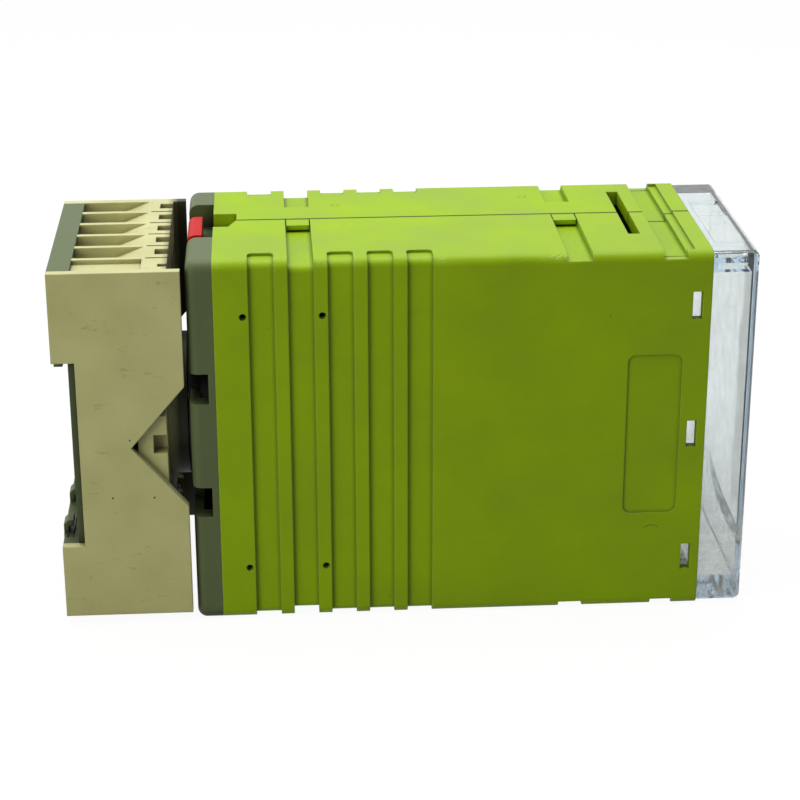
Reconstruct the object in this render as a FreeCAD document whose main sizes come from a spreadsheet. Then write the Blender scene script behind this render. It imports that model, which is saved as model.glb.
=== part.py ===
import FreeCAD, Part
import os
import re

import Sketcher
from FreeCAD import Vector

# Plug-in digital timer relay on its rail socket, in millimetres.
# The origin is the middle of the rail seat.
# X runs from the rail to the relay's front, Y along the rail, Z up.

SIZES = {
    # Rail and socket
    "rail_width": 35.0,         # rail, edge to edge
    "rail_flange": 1.0,         # thickness of the rail's edge
    "rail_play": 0.5,           # room above and below the rail
    "rail_grip": 1.9,           # overlap of each hook on the rail's edge
    "axis_lift": 1.3,           # plug axis above the middle of the rail
    "seat_depth": 2.8,          # rail seat behind the socket's rear edge
    "seat_wall": 1.2,           # rail plate in front of the seat
    "plate_relief": 1.35,       # side plates cut back behind the seat
    "socket_depth": 23.4,       # side plate, rear edge to front edge
    "socket_height": 66.8,
    "socket_width": 45.0,
    "side_plate": 1.8,          # thickness of each side plate
    "core_setback": 2.4,        # terminal blocks behind the side plates' front edge
    "cheek_setback": 1.1,       # middle of the socket behind the terminal blocks' front
    "front_wall": 3.2,          # wall that guides the pins
    "vee_height": 23.5,         # V cut-out of the side plates, at its mouth
    "vee_depth": 10.0,
    "cheek_top": 5.5,           # full front of the cheek above the plug axis
    "cheek_step": 3.0,          # cheek set back above that
    "cheek_notch": 3.6,
    "notch_depth": 2.5,
    "apex_hole": 1.2,           # small window behind the point of the V
    "apex_height": 3.0,
    "boss_size": 27.0,          # raised round face that the plug seats against
    # Terminals of the socket
    "bay_rib": 1.2,             # wall between two wire bays
    "bay_length": 12.5,         # wire bay, from the rail plate forwards
    "ramp_length": 5.3,         # sloping front part of a bay
    "ramp_drop": 2.0,
    "entry_depth": 6.0,         # deep part of a bay, down to its clamp
    "slit_width": 0.5,          # saw cut between two terminals
    "slit_length": 3.9,
    "slit_depth": 1.5,
    "blank_drop": 0.8,          # lowered top of the place without a terminal
    "blank_slot": 1.6,          # slot in that place
    "clamp_length": 7.8,        # cage clamp, along the screw
    "clamp_height": 5.0,
    "clamp_wall": 0.9,
    "screw_shank": 3.0,
    "screw_head": 5.0,
    "head_height": 1.8,
    "screw_slot": 0.8,
    "well_depth": 2.4,          # screw head's well in the front
    "well_mouth": 3.0,          # the well's slot to the outer edge
    # Rail clip
    "clip_plate": 1.8,          # thickness of the clip
    "clip_height": 9.4,
    "clip_width": 33.0,
    "clip_flange": 1.4,         # edge held under the guides, each side
    "clip_proud": 0.2,          # hooks beyond the socket's rear edge
    "nose_bevel": 0.8,          # lead-in on the hooks
    "nose_height": 1.2,         # hook's lip above its relief
    "window_wall": 1.0,         # clip round the spring's window
    "finger_width": 3.4,
    "finger_pitch": 14.2,
    "spring_width": 3.2,
    "spring_strip": 0.45,
    "spring_post": 1.0,
    # Plug
    "pin_ring": 19.05,          # diameter of the ring of pins
    "pin_size": 2.36,
    "pin_bevel": 0.6,           # bevel of a pin's tip
    "pin_reach": 12.0,          # pin beyond the plug disc
    "pin_tail": 5.0,            # square tail into the housing, from the plug disc's face
    "tail_width": 1.6,
    "sleeve_wall": 0.65,
    "strip_width": 2.0,
    "strip_thickness": 0.8,
    "spigot_size": 9.0,
    "spigot_reach": 15.0,
    "key_width": 1.8,
    "key_height": 1.1,
    "disc_size": 32.0,
    "disc_proud": 0.45,         # plug disc beyond the pin base
    "disc_flange": 2.0,         # the disc's rim, inside the pin base
    # Pin base and its lock
    "base_gap": 0.85,           # between socket and pin base
    "base_depth": 4.75,
    "base_wall": 1.75,          # rear wall of the pin base
    "neck_length": 3.2,         # collar inside the housing
    "neck_wall": 1.6,
    "grip_height": 5.8,         # finger notches in the sides
    "grip_spread": 22.2,        # between the middles of two notches
    "grip_depth": 3.5,
    "grip_reach": 10.0,
    "lock_bay": 20.5,           # cut-out for the lock, along the rail
    "lock_bay_depth": 4.5,
    "lock_floor": 1.6,
    "lock_width": 11.6,
    "lock_length": 2.65,
    "lock_drop": 1.0,           # lock below the top of the pin base
    "lock_stem": 6.0,
    "stem_length": 0.7,
    "lock_foot": 0.9,
    "lock_travel": 2.0,
    "lock_notch": 8.0,          # notch in the housing behind the lock
    "notch_length": 4.3,
    "notch_slant": 1.5,         # the notch's slanting end in the near half
    # Housing
    "relay_width": 45.0,
    "relay_height": 70.0,
    "shell_length": 89.1,
    "side_wall": 1.8,
    "roof_wall": 2.6,
    "edge_round": 1.8,
    "seam_offset": 2.4,         # parting line beyond the middle
    "seam_bevel": 0.2,
    "seam_gap": 0.1,
    "flute_start": 6.25,        # first flute, from the housing's rear end
    "flute_pitch": 7.06,
    "flute_width": 4.6,
    "flute_depth": 0.8,
    "flute_wrap": 4.7,          # flute's end on the roof
    "flute_bend": 1.3,          # rounding where a flute turns onto the roof
    "wrap_round": 0.9,
    "snap_start": 62.9,         # second snap groove, from the rear end
    "tongue_reach": 4.0,        # snap tongue past the parting line
    "tongue_root": 7.5,
    "tongue_thickness": 0.9,
    "tongue_sink": 0.05,
    "tongue_gap": 0.2,
    "latch_start": 75.5,        # slot in the roof
    "latch_width": 2.2,
    "latch_length": 27.0,
    "band_start": 80.3,         # recessed band behind the front rim
    "band_width": 4.2,
    "band_lap": 2.0,            # far half's lap over the near one in the band
    "band_groove": 0.3,         # narrow groove in the band, above the side wall's inner face
    "step_width": 1.5,
    "recess_depth": 1.35,       # snap grooves and band
    "step_depth": 0.5,          # step of the band, and the flutes' ends
    "panel_start": 74.4,        # bare inset on the near side
    "panel_length": 9.9,
    "panel_height": 31.2,
    "panel_depth": 0.3,
    "panel_round": 1.4,
    "vent_start": 85.7,         # slots near the front rim
    "vent_width": 1.8,
    "vent_height": 5.2,
    "vent_pitch": 24.9,
    "probe_hole": 1.3,          # small holes near the rear end
    "probe_start": 5.2,
    "probe_pitch": 14.15,
    "probe_spread": 49.2,
    # Clear cover
    "cover_reach": 8.5,         # cover beyond the housing
    "cover_inset": 0.4,
    "cover_face": 1.0,
    "cover_round": 1.2,
    "skirt_length": 6.0,        # skirt inside the housing
    "skirt_wall": 1.9,
    "skirt_gap": 0.3,
    "thin_width": 26.0,         # thinner middle of the cover's roof
    "thin_depth": 0.6,
    "nail_width": 9.2,          # shallow nail recess on the roof
    "nail_length": 5.6,
    "nail_offset": 5.0,
    "nail_depth": 0.4,
    # Setting front
    "face_setback": 6.6,        # front panel behind the housing's rim
    "face_wall": 2.0,
    "ledge": 1.2,               # inner ledges that carry the panel
    "ledge_width": 8.0,
    "wheel_size": 14.0,         # number drum, across its corners
    "rim_size": 14.8,           # finger rim of a wheel
    "rim_width": 2.0,
    "rim_notch": 1.2,
    "wheel_width": 6.8,
    "wheel_pitch": 7.6,
    "wheel_proud": 1.6,         # finger rim beyond the panel
    "wheel_lift": 12.0,         # wheels above the plug axis
    "axle_size": 3.0,
    "axle_gap": 0.06,
    "cheek": 1.6,               # end plates of the wheel frame
    "frame_wall": 1.4,
    "window_gap": 0.7,
    "knob_size": 11.0,
    "knob_height": 3.4,
    "knob_drop": 15.0,          # selector below the plug axis
    "knob_offset": 8.0,
    "knob_slot": 1.2,
    "shaft_size": 4.0,
    "shaft_gap": 0.08,
    "switch_size": 12.0,
    "switch_depth": 6.0,
    "lens_size": 3.0,           # indicator lamps
    "lens_bevel": 0.7,
    "lens_proud": 1.2,
    "lens_pitch": 8.0,
    "lead_size": 0.6,
    "lead_pitch": 1.6,
    # Boards and what they carry
    "board": 1.6,
    "board_offset": 12.0,       # main board's near face beyond the middle
    "board_start": 4.0,         # main board behind the housing's rear end
    "guide_wall": 1.2,
    "guide_height": 1.6,
    "board_gap": 0.1,
    "core_length": 28.0,        # transformer, along the housing
    "core_height": 24.0,
    "core_stack": 11.0,
    "core_leg": 4.7,
    "core_start": 6.0,          # transformer in from the main board's rear end
    "coil_gap": 0.2,
    "relay_length": 16.0,       # output relay
    "relay_tall": 26.0,
    "relay_depth": 18.0,
    "can_size": 12.5,           # smoothing capacitors
    "can_length": 20.0,
    "can_pitch": 16.0,
    "chip_length": 19.0,
    "chip_width": 6.4,
    "chip_height": 3.6,
    "chip_pitch": 9.0,
    "resistor_size": 2.4,
    "resistor_length": 6.6,
    "resistor_pitch": 4.2,
    # Clearances
    "fit_gap": 0.1,             # between pieces that seat in each other
    "slide_gap": 0.2,           # between pieces that slide
    "inner_gap": 0.3,           # between inner pieces
    "cut_past": 1.0,            # how far a cut runs past a face
}

# Places worked out from the sizes.
PLACES = {
    "notch_half": "rail_width/2 + rail_play",
    "hook_half": "rail_width/2 - rail_grip",
    "hook_face": "-rail_flange - slide_gap",
    "socket_rear": "-seat_depth",
    "socket_front": "socket_depth - seat_depth",
    "core_front": "socket_front - core_setback",
    "cheek_front": "core_front - cheek_setback",
    "hollow_front": "cheek_front - front_wall",
    "socket_top": "axis_lift + socket_height/2",
    "socket_low": "axis_lift - socket_height/2",
    "core_half": "socket_width/2 - side_plate",
    "terminal_pitch": "(2*core_half + bay_rib)/6",
    "bay_width": "terminal_pitch - bay_rib",
    "bay_front": "seat_wall + bay_length",
    "entry_front": "bay_front - ramp_length",
    "clamp_back": "seat_wall + inner_gap",
    "clamp_front": "clamp_back + clamp_length",
    "clamp_width": "bay_width - 2*slide_gap",
    "clamp_inset": "entry_depth + inner_gap + clamp_height/2",
    "clamp_bottom": "clamp_inset + clamp_height/2 + inner_gap",
    "strip_front": "clamp_front - clamp_wall - inner_gap",
    "strip_back": "strip_front - strip_thickness",
    "screw_seat": "core_front - well_depth",
    "well_size": "screw_head + 2*inner_gap",
    "hollow_half": "5*terminal_pitch/2 + strip_width/2 + inner_gap",
    "hollow_reach": "socket_height/2 - clamp_bottom",
    "sleeve_size": "pin_size + 2*slide_gap + 2*sleeve_wall",
    "clip_back": "socket_rear - clip_proud",
    "clip_face": "clip_back + clip_plate",
    "clip_mid": "(clip_back + clip_face)/2",
    "clip_top": "-notch_half - slide_gap",
    "clip_low": "clip_top - clip_height",
    "window_top": "clip_top - window_wall",
    "window_low": "clip_low + window_wall",
    "post_low": "window_low + slide_gap",
    "post_top": "post_low + spring_post",
    "base_back": "socket_front + base_gap",
    "relay_back": "base_back + base_depth",
    "relay_front": "relay_back + shell_length",
    "relay_top": "axis_lift + relay_height/2",
    "relay_low": "axis_lift - relay_height/2",
    "inner_half": "relay_width/2 - side_wall",
    "inner_tall": "relay_height/2 - roof_wall",
    "disc_back": "base_back - disc_proud",
    "boss_front": "disc_back - inner_gap",
    "base_inside": "base_back + base_wall",
    "flange_front": "base_inside + disc_flange",
    "neck_front": "relay_back + neck_length",
    "neck_half": "inner_half - fit_gap",
    "neck_tall": "inner_tall - fit_gap",
    "bay_floor": "relay_top - lock_bay_depth",
    "stem_back": "base_inside + slide_gap",
    "face_front": "relay_front - face_setback",
    "face_back": "face_front - face_wall",
    "wheel_x": "face_front + wheel_proud - rim_size/2",
    "control_front": "wheel_x - rim_size/2 - 2*inner_gap - frame_wall",
    "control_back": "control_front - board",
    "cover_front": "relay_front + cover_reach",
    "skirt_back": "relay_front - skirt_length",
    "skirt_half": "inner_half - skirt_gap",
    "skirt_tall": "inner_tall - skirt_gap",
    "wheel_z": "axis_lift + wheel_lift",
    "frame_half": "3*wheel_pitch/2 + wheel_width/2 + inner_gap + cheek",
    "knob_z": "axis_lift - knob_drop",
    "board_back": "relay_back + board_start",
    "board_front": "control_back - board_gap",
    "board_tall": "inner_tall - board_gap",
    "core_back": "board_back + core_start",
    "coil_half": "core_length/2 - core_leg - coil_gap",
    "limb_half": "core_leg",
    "coil_reach": "core_stack/2 + coil_half - limb_half",
    "core_y": "board_offset - coil_reach",
}

FLUTES = range(5)
SNAP_FLUTE = 1
PIN_COUNT = 11
UPPER_PLACES = [-1.5, -0.5, 0.5, 1.5, 2.5]
LOWER_PLACES = [-2.5, -1.5, -0.5, 0.5, 1.5, 2.5]
DIGITS = 10
NOTCH_SPREAD = 16            # half a rim notch, in degrees round the wheel
WHEELS = range(4)
SPRING_BENDS = 6
RESISTORS = range(1, 5)

doc = FreeCAD.newDocument("timer_relay")
sheet = doc.addObject("Spreadsheet::Sheet", "Sizes")
for row, (alias, value) in enumerate(SIZES.items(), start=1):
    sheet.set(f"A{row}", alias)
    sheet.set(f"B{row}", str(value))
    sheet.setAlias(f"B{row}", alias)
doc.recompute()


def bind(text):
    """Write an expression of size and place names as one that refers to the sheet's cells."""
    def cell(match):
        name = match.group(0)
        if name in PLACES:
            return f"({bind(PLACES[name])})"
        return f"Sizes.{name}" if name in SIZES else name
    return re.sub(r"[a-z_]+", cell, str(text))


def number(text):
    """The value of an expression in millimetres."""
    return float(sheet.evalExpression(bind(text)))


# Outlines: a list of corners joined by lines, a circle, or a rectangle with rounded corners.

def rect(left, right, low, high):
    return [(left, low), (right, low), (right, high), (left, high)]


def disc(across, up, size):
    return {"middle": (across, up), "size": size}


def block(left, right, low, high, radius):
    """A rectangle with rounded corners, given as low and high sides in that order."""
    return {"sides": (left, right, low, high), "radius": radius}


def tie_point(ties, geometry, end, across, up):
    """Tie one end of a line, or a circle's middle, to its place."""
    for kind, text in (("DistanceX", across), ("DistanceY", up)):
        ties.append((Sketcher.Constraint(kind, -1, 1, geometry, end, number(text)), text))


def draw_corners(sketch, ties, corners):
    points = [Vector(number(across), number(up), 0) for across, up in corners]
    sides = [Part.LineSegment(start, end) for start, end in zip(points, points[1:] + points[:1])]
    lines = sketch.addGeometry(sides, False)
    for line, following, corner in zip(lines, lines[1:] + lines[:1], corners):
        ties.append((Sketcher.Constraint("Coincident", line, 2, following, 1), None))
        tie_point(ties, line, 1, *corner)


def draw_disc(sketch, ties, outline):
    middle = Vector(*[number(text) for text in outline["middle"]], 0)
    size = outline["size"]
    circle = sketch.addGeometry(Part.Circle(middle, Vector(0, 0, 1), number(size) / 2), False)
    tie_point(ties, circle, 3, *outline["middle"])
    ties.append((Sketcher.Constraint("Diameter", circle, number(size)), size))


def draw_block(sketch, ties, outline):
    left, right, low, high = outline["sides"]
    radius = outline["radius"]
    ends = [
        ((f"{left} + {radius}", low), (f"{right} - ({radius})", low)),
        ((right, f"{low} + {radius}"), (right, f"{high} - ({radius})")),
        ((f"{right} - ({radius})", high), (f"{left} + {radius}", high)),
        ((left, f"{high} - ({radius})"), (left, f"{low} + {radius}")),
    ]
    points = [[Vector(number(across), number(up), 0) for across, up in side] for side in ends]
    lines = sketch.addGeometry([Part.LineSegment(*side) for side in points], False)
    for line, (start, end) in zip(lines, ends):
        tie_point(ties, line, 1, *start)
        tie_point(ties, line, 2, *end)
    corners = [Vector(number(across), number(up), 0)
               for across, up in ((right, low), (right, high), (left, high), (left, low))]
    bulge = 2 ** 0.5 - 1
    for place, (line, following) in enumerate(zip(lines, lines[1:] + lines[:1])):
        start, end = points[place][1], points[(place + 1) % len(points)][0]
        halfway = (start + end) * 0.5
        middle = halfway + (corners[place] - halfway) * bulge
        arc = sketch.addGeometry(Part.Arc(start, middle, end), False)
        ties.append((Sketcher.Constraint("Coincident", arc, 1, line, 2), None))
        ties.append((Sketcher.Constraint("Coincident", arc, 2, following, 1), None))
        ties.append((Sketcher.Constraint("Radius", arc, number(radius)), radius))


# Features of a body. The plane is named by its two axes.

def new_body(label):
    body = doc.addObject("PartDesign::Body", f"{label}_body")
    body.Label = label
    return body


def sketch_at(body, plane, place, outlines):
    """A sketch across one axis, at a place along it, holding one or more closed outlines."""
    sketch = body.newObject("Sketcher::SketchObject", "outline")
    origin = [item for item in body.Origin.OriginFeatures if item.Role == f"{plane}_Plane"][0]
    sketch.AttachmentSupport = [(origin, "")]
    sketch.MapMode = "FlatFace"
    sign = "-" if plane == "XZ" else ""
    sketch.setExpression("AttachmentOffset.Base.z", f"{sign}({bind(place)})")
    ties = []
    for outline in outlines:
        if isinstance(outline, list):
            draw_corners(sketch, ties, outline)
        elif "sides" in outline:
            draw_block(sketch, ties, outline)
        else:
            draw_disc(sketch, ties, outline)
    sketch.addConstraint([tie for tie, text in ties])
    for place, (tie, text) in enumerate(ties):
        if text:
            sketch.setExpression(f"Constraints[{place}]", bind(text))
    return sketch


def refresh(feature):
    """Work out a new feature and its sketch."""
    feature.recompute(True)


def add(body, plane, low, high, *outlines):
    """Pad outlines across a plane from a low place to a high one."""
    feature = body.newObject("PartDesign::Pad", "pad")
    feature.Profile = sketch_at(body, plane, low, outlines)
    feature.Reversed = plane == "XZ"
    feature.Refine = False
    feature.setExpression("Length", bind(f"{high} - ({low})"))
    refresh(feature)
    return feature


def cut(body, plane, low, high, *outlines):
    """Cut outlines across a plane from a low place to a high one."""
    feature = body.newObject("PartDesign::Pocket", "pocket")
    feature.Profile = sketch_at(body, plane, low, outlines)
    feature.Reversed = plane != "XZ"
    feature.Refine = False
    feature.setExpression("Length", bind(f"{high} - ({low})"))
    refresh(feature)
    return feature


def edges_where(shape, test):
    """Names of the straight edges whose ends pass a test."""
    names = []
    for index, edge in enumerate(shape.Edges, start=1):
        if len(edge.Vertexes) == 2 and test(edge.Vertexes[0].Point, edge.Vertexes[1].Point):
            names.append(f"Edge{index}")
    return names


def soften(body, kind, size, test):
    """Round or bevel a body's straight edges that pass a test."""
    base = body.Tip
    feature = body.newObject(f"PartDesign::{kind}", kind.lower())
    feature.Base = (base, edges_where(base.Shape, test))
    feature.setExpression("Radius" if kind == "Fillet" else "Size", bind(size))
    refresh(feature)


def same(first, second):
    return abs(first - second) < 1e-4


def along_x(start, end):
    return same(start.y, end.y) and same(start.z, end.z)


def mirrored(side, near, far):
    """Low and high places of a stretch on the far side (1), or of its image on the near side (-1)."""
    return (near, far) if side > 0 else (f"-({far})", f"-({near})")


def outward(level, near, far):
    """Low and high places of a stretch measured up from the plug axis (1), or down from it (-1)."""
    if level > 0:
        return f"axis_lift + {near}", f"axis_lift + {far}"
    return f"axis_lift - ({far})", f"axis_lift - ({near})"


def terminal_rows():
    """The two rows of terminals: their level, and their places along the rail in pitches."""
    return ((1, UPPER_PLACES), (-1, LOWER_PLACES))


def pin_places():
    """Places of the pins round the plug axis, the first above the axis on the far side."""
    places = []
    for pin in range(PIN_COUNT):
        angle = f"(90 + {pin - 2}*360/{PIN_COUNT})"
        places.append((f"pin_ring/2*cos{angle}", f"axis_lift + pin_ring/2*sin{angle}"))
    return places


# Socket

def make_socket_body():
    """Beige moulding: terminal blocks between two side plates, hollow behind the pin holes."""
    body = new_body("socket_body")
    add(body, "XZ", "-core_half", "core_half", rect("seat_wall", "core_front", "socket_low", "socket_top"))
    vee = "vee_height/2"
    profile = [
        ("socket_rear", "socket_low"), ("socket_front", "socket_low"),
        ("socket_front", f"axis_lift - {vee}"), ("socket_front - vee_depth", "axis_lift"),
        ("socket_front", f"axis_lift + {vee}"), ("socket_front", "socket_top"),
        ("socket_rear", "socket_top"), ("socket_rear", "notch_half"),
        ("plate_relief", "notch_half"), ("plate_relief", "-notch_half"), ("socket_rear", "-notch_half"),
    ]
    for side in (-1, 1):
        add(body, "XZ", *mirrored(side, "core_half", "socket_width/2"), profile)
    cut(body, "YZ", "seat_wall - cut_past", "hollow_front",
        rect("-hollow_half", "hollow_half", "axis_lift - hollow_reach", "axis_lift + hollow_reach"))
    cut(body, "XZ", "-core_half", "core_half",
        rect("cheek_front", "core_front + cut_past",
             "axis_lift - hollow_reach", "axis_lift + hollow_reach"))
    for side in (-1, 1):
        cut(body, "XZ", *mirrored(side, "hollow_half - cut_past", "core_half"),
            rect("cheek_front - notch_depth", "cheek_front + cut_past", "axis_lift - cheek_notch/2",
                 "axis_lift + cheek_notch/2"),
            rect("cheek_front - cheek_step", "cheek_front + cut_past", "axis_lift + cheek_top",
                 "axis_lift + hollow_reach"))
    cut_bays(body)
    for level, places in terminal_rows():
        cut_screw_wells(body, level, places)
    cut_top_details(body)
    apex = "socket_front - vee_depth"
    cut(body, "XZ", "-core_half - cut_past/2", "core_half + cut_past/2",
        rect(apex, f"{apex} + apex_hole", "axis_lift - apex_height/2", "axis_lift + apex_height/2"))
    add(body, "YZ", "cheek_front", "boss_front", disc("0", "axis_lift", "boss_size"))
    through = "hollow_front - cut_past", "boss_front + cut_past"
    cut(body, "YZ", *through, disc("0", "axis_lift", "spigot_size + 2*inner_gap"),
        *[disc(across, up, "pin_size + 2*inner_gap") for across, up in pin_places()])
    reach = "spigot_size/2 + key_height + inner_gap"
    half = "key_width/2 + inner_gap"
    cut(body, "YZ", *through, rect(f"-({half})", half, f"axis_lift - ({reach})", "axis_lift"))
    return body


def screw_height(level):
    """Height of the screws of the upper row (1) or the lower one (-1)."""
    rise = "+" if level > 0 else "-"
    return f"axis_lift {rise} (socket_height/2 - clamp_inset)"


def cut_bays(body):
    """Wire bays with their ramps, the ribs between them, and the clamps' pockets behind them."""
    top = "socket_height/2"
    ribs = []
    for level, places in terminal_rows():
        rise = "+" if level > 0 else "-"
        edge = f"axis_lift {rise} {top}"
        cut(body, "XZ", f"{places[0]}*terminal_pitch - bay_width/2", "core_half", [
            ("seat_wall - cut_past", f"{edge} {rise} cut_past"), ("bay_front", f"{edge} {rise} cut_past"),
            ("bay_front", edge), ("entry_front", f"{edge} {rise} (-ramp_drop)"),
            ("entry_front", f"{edge} {rise} (-entry_depth)"),
            ("seat_wall - cut_past", f"{edge} {rise} (-entry_depth)")])
        for place in places[1:]:
            middle = f"{place - 0.5}*terminal_pitch"
            ribs.append(rect(f"{middle} - bay_rib/2", f"{middle} + bay_rib/2",
                             *outward(level, f"{top} - entry_depth", top)))
    add(body, "YZ", "seat_wall", "bay_front", *ribs)
    pockets = []
    for level, places in terminal_rows():
        span = outward(level, "hollow_reach", f"{top} - entry_depth")
        for place in places:
            middle = f"{place}*terminal_pitch"
            pockets.append(rect(f"{middle} - bay_width/2", f"{middle} + bay_width/2", *span))
    cut(body, "YZ", "seat_wall - cut_past", "clamp_front + inner_gap", *pockets)


def cut_screw_wells(body, level, places):
    """A well for each screw's head, open to the outer edge by a narrower mouth, and the shank's hole."""
    rise = "+" if level > 0 else "-"
    screw = screw_height(level)
    inner, outer = f"{screw} {rise} (-well_size/2)", f"{screw} {rise} well_size/2"
    edge = f"axis_lift {rise} (socket_height/2 + cut_past)"
    hole = "(screw_shank/2 + slide_gap)"
    holes, wells = [], []
    for place in places:
        middle = f"{place}*terminal_pitch"
        holes.append(rect(f"{middle} - {hole}", f"{middle} + {hole}",
                          f"{screw} - {hole}", f"{screw} + {hole}"))
        wide_left, wide_right = f"{middle} - well_size/2", f"{middle} + well_size/2"
        mouth_left, mouth_right = f"{middle} - well_mouth/2", f"{middle} + well_mouth/2"
        wells.append([(wide_left, inner), (wide_right, inner), (wide_right, outer), (mouth_right, outer),
                      (mouth_right, edge), (mouth_left, edge), (mouth_left, outer), (wide_left, outer)])
    cut(body, "YZ", "clamp_front", "screw_seat + cut_past", *holes)
    cut(body, "YZ", "screw_seat", "core_front + cut_past", *wells)


def cut_top_details(body):
    """Saw cuts between the terminals, and the lowered place that has no terminal."""
    top, past = "socket_height/2", "socket_height/2 + cut_past"
    for level, places in terminal_rows():
        slits = []
        for place in places:
            middle = f"{place - 0.5}*terminal_pitch"
            slits.append(rect("core_front - slit_length", "core_front + cut_past",
                              f"{middle} - slit_width/2", f"{middle} + slit_width/2"))
        if level > 0:
            middle = "-5*terminal_pitch/2 - blank_slot/2"
            slits.append(rect("core_front - blank_slot", "core_front + cut_past",
                              f"{middle} - blank_slot/2", f"{middle} + blank_slot/2"))
        cut(body, "XY", *outward(level, f"{top} - slit_depth", past), *slits)
    first_bay = f"{UPPER_PLACES[0]}*terminal_pitch - bay_width/2"
    cut(body, "XY", *outward(1, f"{top} - blank_drop", past),
        rect("seat_wall - cut_past", "bay_front", "-core_half", f"{first_bay} - bay_rib"))


def make_terminal_screws(label, level, places):
    """Slotted screws of one row, their heads in the wells."""
    body = new_body(label)
    screw = screw_height(level)
    middles = [f"{place}*terminal_pitch" for place in places]
    add(body, "YZ", "screw_seat", "screw_seat + head_height",
        *[disc(at, screw, "screw_head") for at in middles])
    add(body, "YZ", "strip_front", "screw_seat", *[disc(at, screw, "screw_shank") for at in middles])
    cut(body, "YZ", "screw_seat + head_height/2", "screw_seat + head_height + cut_past",
        *[rect(f"{at} - screw_head/2 - cut_past/2", f"{at} + screw_head/2 + cut_past/2",
               f"{screw} - screw_slot/2", f"{screw} + screw_slot/2") for at in middles])
    return body


def make_wire_clamps(label, level, places):
    """Cage clamps of one row: open boxes that the wire drops into and the screw passes through."""
    body = new_body(label)
    screw = screw_height(level)
    low, high = f"{screw} - clamp_height/2", f"{screw} + clamp_height/2"
    middles = [f"{place}*terminal_pitch" for place in places]
    add(body, "XY", low, high,
        *[rect("clamp_back", "clamp_front", f"{at} - clamp_width/2", f"{at} + clamp_width/2")
          for at in middles])
    half = "(clamp_width/2 - clamp_wall)"
    cut(body, "XY", f"{low} - cut_past", f"{high} + cut_past",
        *[rect("clamp_back + clamp_wall", "clamp_front - clamp_wall", f"{at} - {half}", f"{at} + {half}")
          for at in middles])
    hole = "(screw_shank/2 + fit_gap)"
    cut(body, "YZ", "clamp_front - clamp_wall - cut_past/2", "clamp_front + cut_past",
        *[rect(f"{at} - {hole}", f"{at} + {hole}", f"{screw} - {hole}", f"{screw} + {hole}")
          for at in middles])
    return body


def make_pin_contacts():
    """Folded square sleeves for the pins, each with a strip that runs into its clamp."""
    body = new_body("pin_contacts")
    places = pin_places()
    outside, inside = "sleeve_size/2", "(pin_size/2 + slide_gap)"
    add(body, "YZ", "strip_back", "hollow_front - fit_gap", *[
        rect(f"{across} - {outside}", f"{across} + {outside}", f"{up} - {outside}", f"{up} + {outside}")
        for across, up in places])
    cut(body, "YZ", "strip_front", "hollow_front + cut_past", *[
        rect(f"{across} - {inside}", f"{across} + {inside}", f"{up} - {inside}", f"{up} + {inside}")
        for across, up in places])
    far_first = [(1, place) for place in reversed(UPPER_PLACES)] + [(-1, place) for place in LOWER_PLACES]
    half = "strip_width/2"
    strips = []
    for (across, up), (level, place) in zip(places, far_first):
        middle = f"{place}*terminal_pitch"
        rise = "+" if level > 0 else "-"
        end = f"axis_lift {rise} (socket_height/2 - entry_depth - inner_gap)"
        bend = f"axis_lift {rise} (hollow_reach - inner_gap)"
        strips.append([(f"{across} - {half}", up), (f"{across} + {half}", up),
                       (f"{middle} + {half}", bend), (f"{middle} + {half}", end),
                       (f"{middle} - {half}", end), (f"{middle} - {half}", bend)])
    add(body, "YZ", "strip_back", "strip_front", *strips)
    return body


def make_rail_plate():
    """Grey rear plate: rail seat, fixed upper hook and the guides of the clip."""
    body = new_body("rail_plate")
    half = "(core_half - fit_gap)"
    add(body, "XZ", f"-{half}", half, [
        ("socket_rear", "socket_low"), ("seat_wall", "socket_low"), ("seat_wall", "socket_top"),
        ("socket_rear", "socket_top"), ("socket_rear", "notch_half"), ("0", "notch_half"),
        ("0", "-notch_half"), ("socket_rear", "-notch_half")])
    add(body, "YZ", "socket_rear", "hook_face", *[
        rect(f"{place}*finger_pitch - finger_width", f"{place}*finger_pitch + finger_width",
             "hook_half", "notch_half") for place in (-1, 0, 1)])
    low, high = "socket_low - cut_past", "-notch_half + cut_past"
    track = "(clip_width/2 + slide_gap)"
    cut(body, "YZ", "socket_rear - cut_past", "clip_face + slide_gap", rect(f"-{track}", track, low, high))
    wide = "(clip_width/2 + clip_flange + slide_gap)"
    cut(body, "YZ", "clip_mid - slide_gap", "clip_face + slide_gap", rect(f"-{wide}", wide, low, high))
    add(body, "YZ", "clip_back + clip_proud + slide_gap", "clip_face + slide_gap",
        rect("-spring_width/2 + slide_gap", "spring_width/2 - slide_gap", "post_low", "post_top"))
    return body


def make_rail_clip():
    """Sliding clip: hook fingers, flanged edges and the window of its spring."""
    body = new_body("rail_clip")
    add(body, "YZ", "clip_back", "clip_face", rect("-clip_width/2", "clip_width/2", "clip_low", "clip_top"))
    wide = "(clip_width/2 + clip_flange)"
    add(body, "YZ", "clip_mid", "clip_face", rect(f"-{wide}", wide, "clip_low", "clip_top"))
    lip = "-hook_half - nose_height"
    hook = [
        ("clip_back", "clip_top"), ("clip_mid", "clip_top"), ("clip_mid", lip), ("hook_face", lip),
        ("hook_face", "-hook_half"), ("clip_back + nose_bevel", "-hook_half"),
        ("clip_back", "-hook_half - nose_bevel"),
    ]
    for place in (-1, 0, 1):
        middle = f"{place}*finger_pitch"
        add(body, "XZ", f"{middle} - finger_width/2", f"{middle} + finger_width/2", hook)
    half = "(spring_width/2 + slide_gap)"
    cut(body, "YZ", "clip_back - cut_past", "clip_face + cut_past",
        rect(f"-{half}", half, "window_low", "window_top"))
    return body


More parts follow.
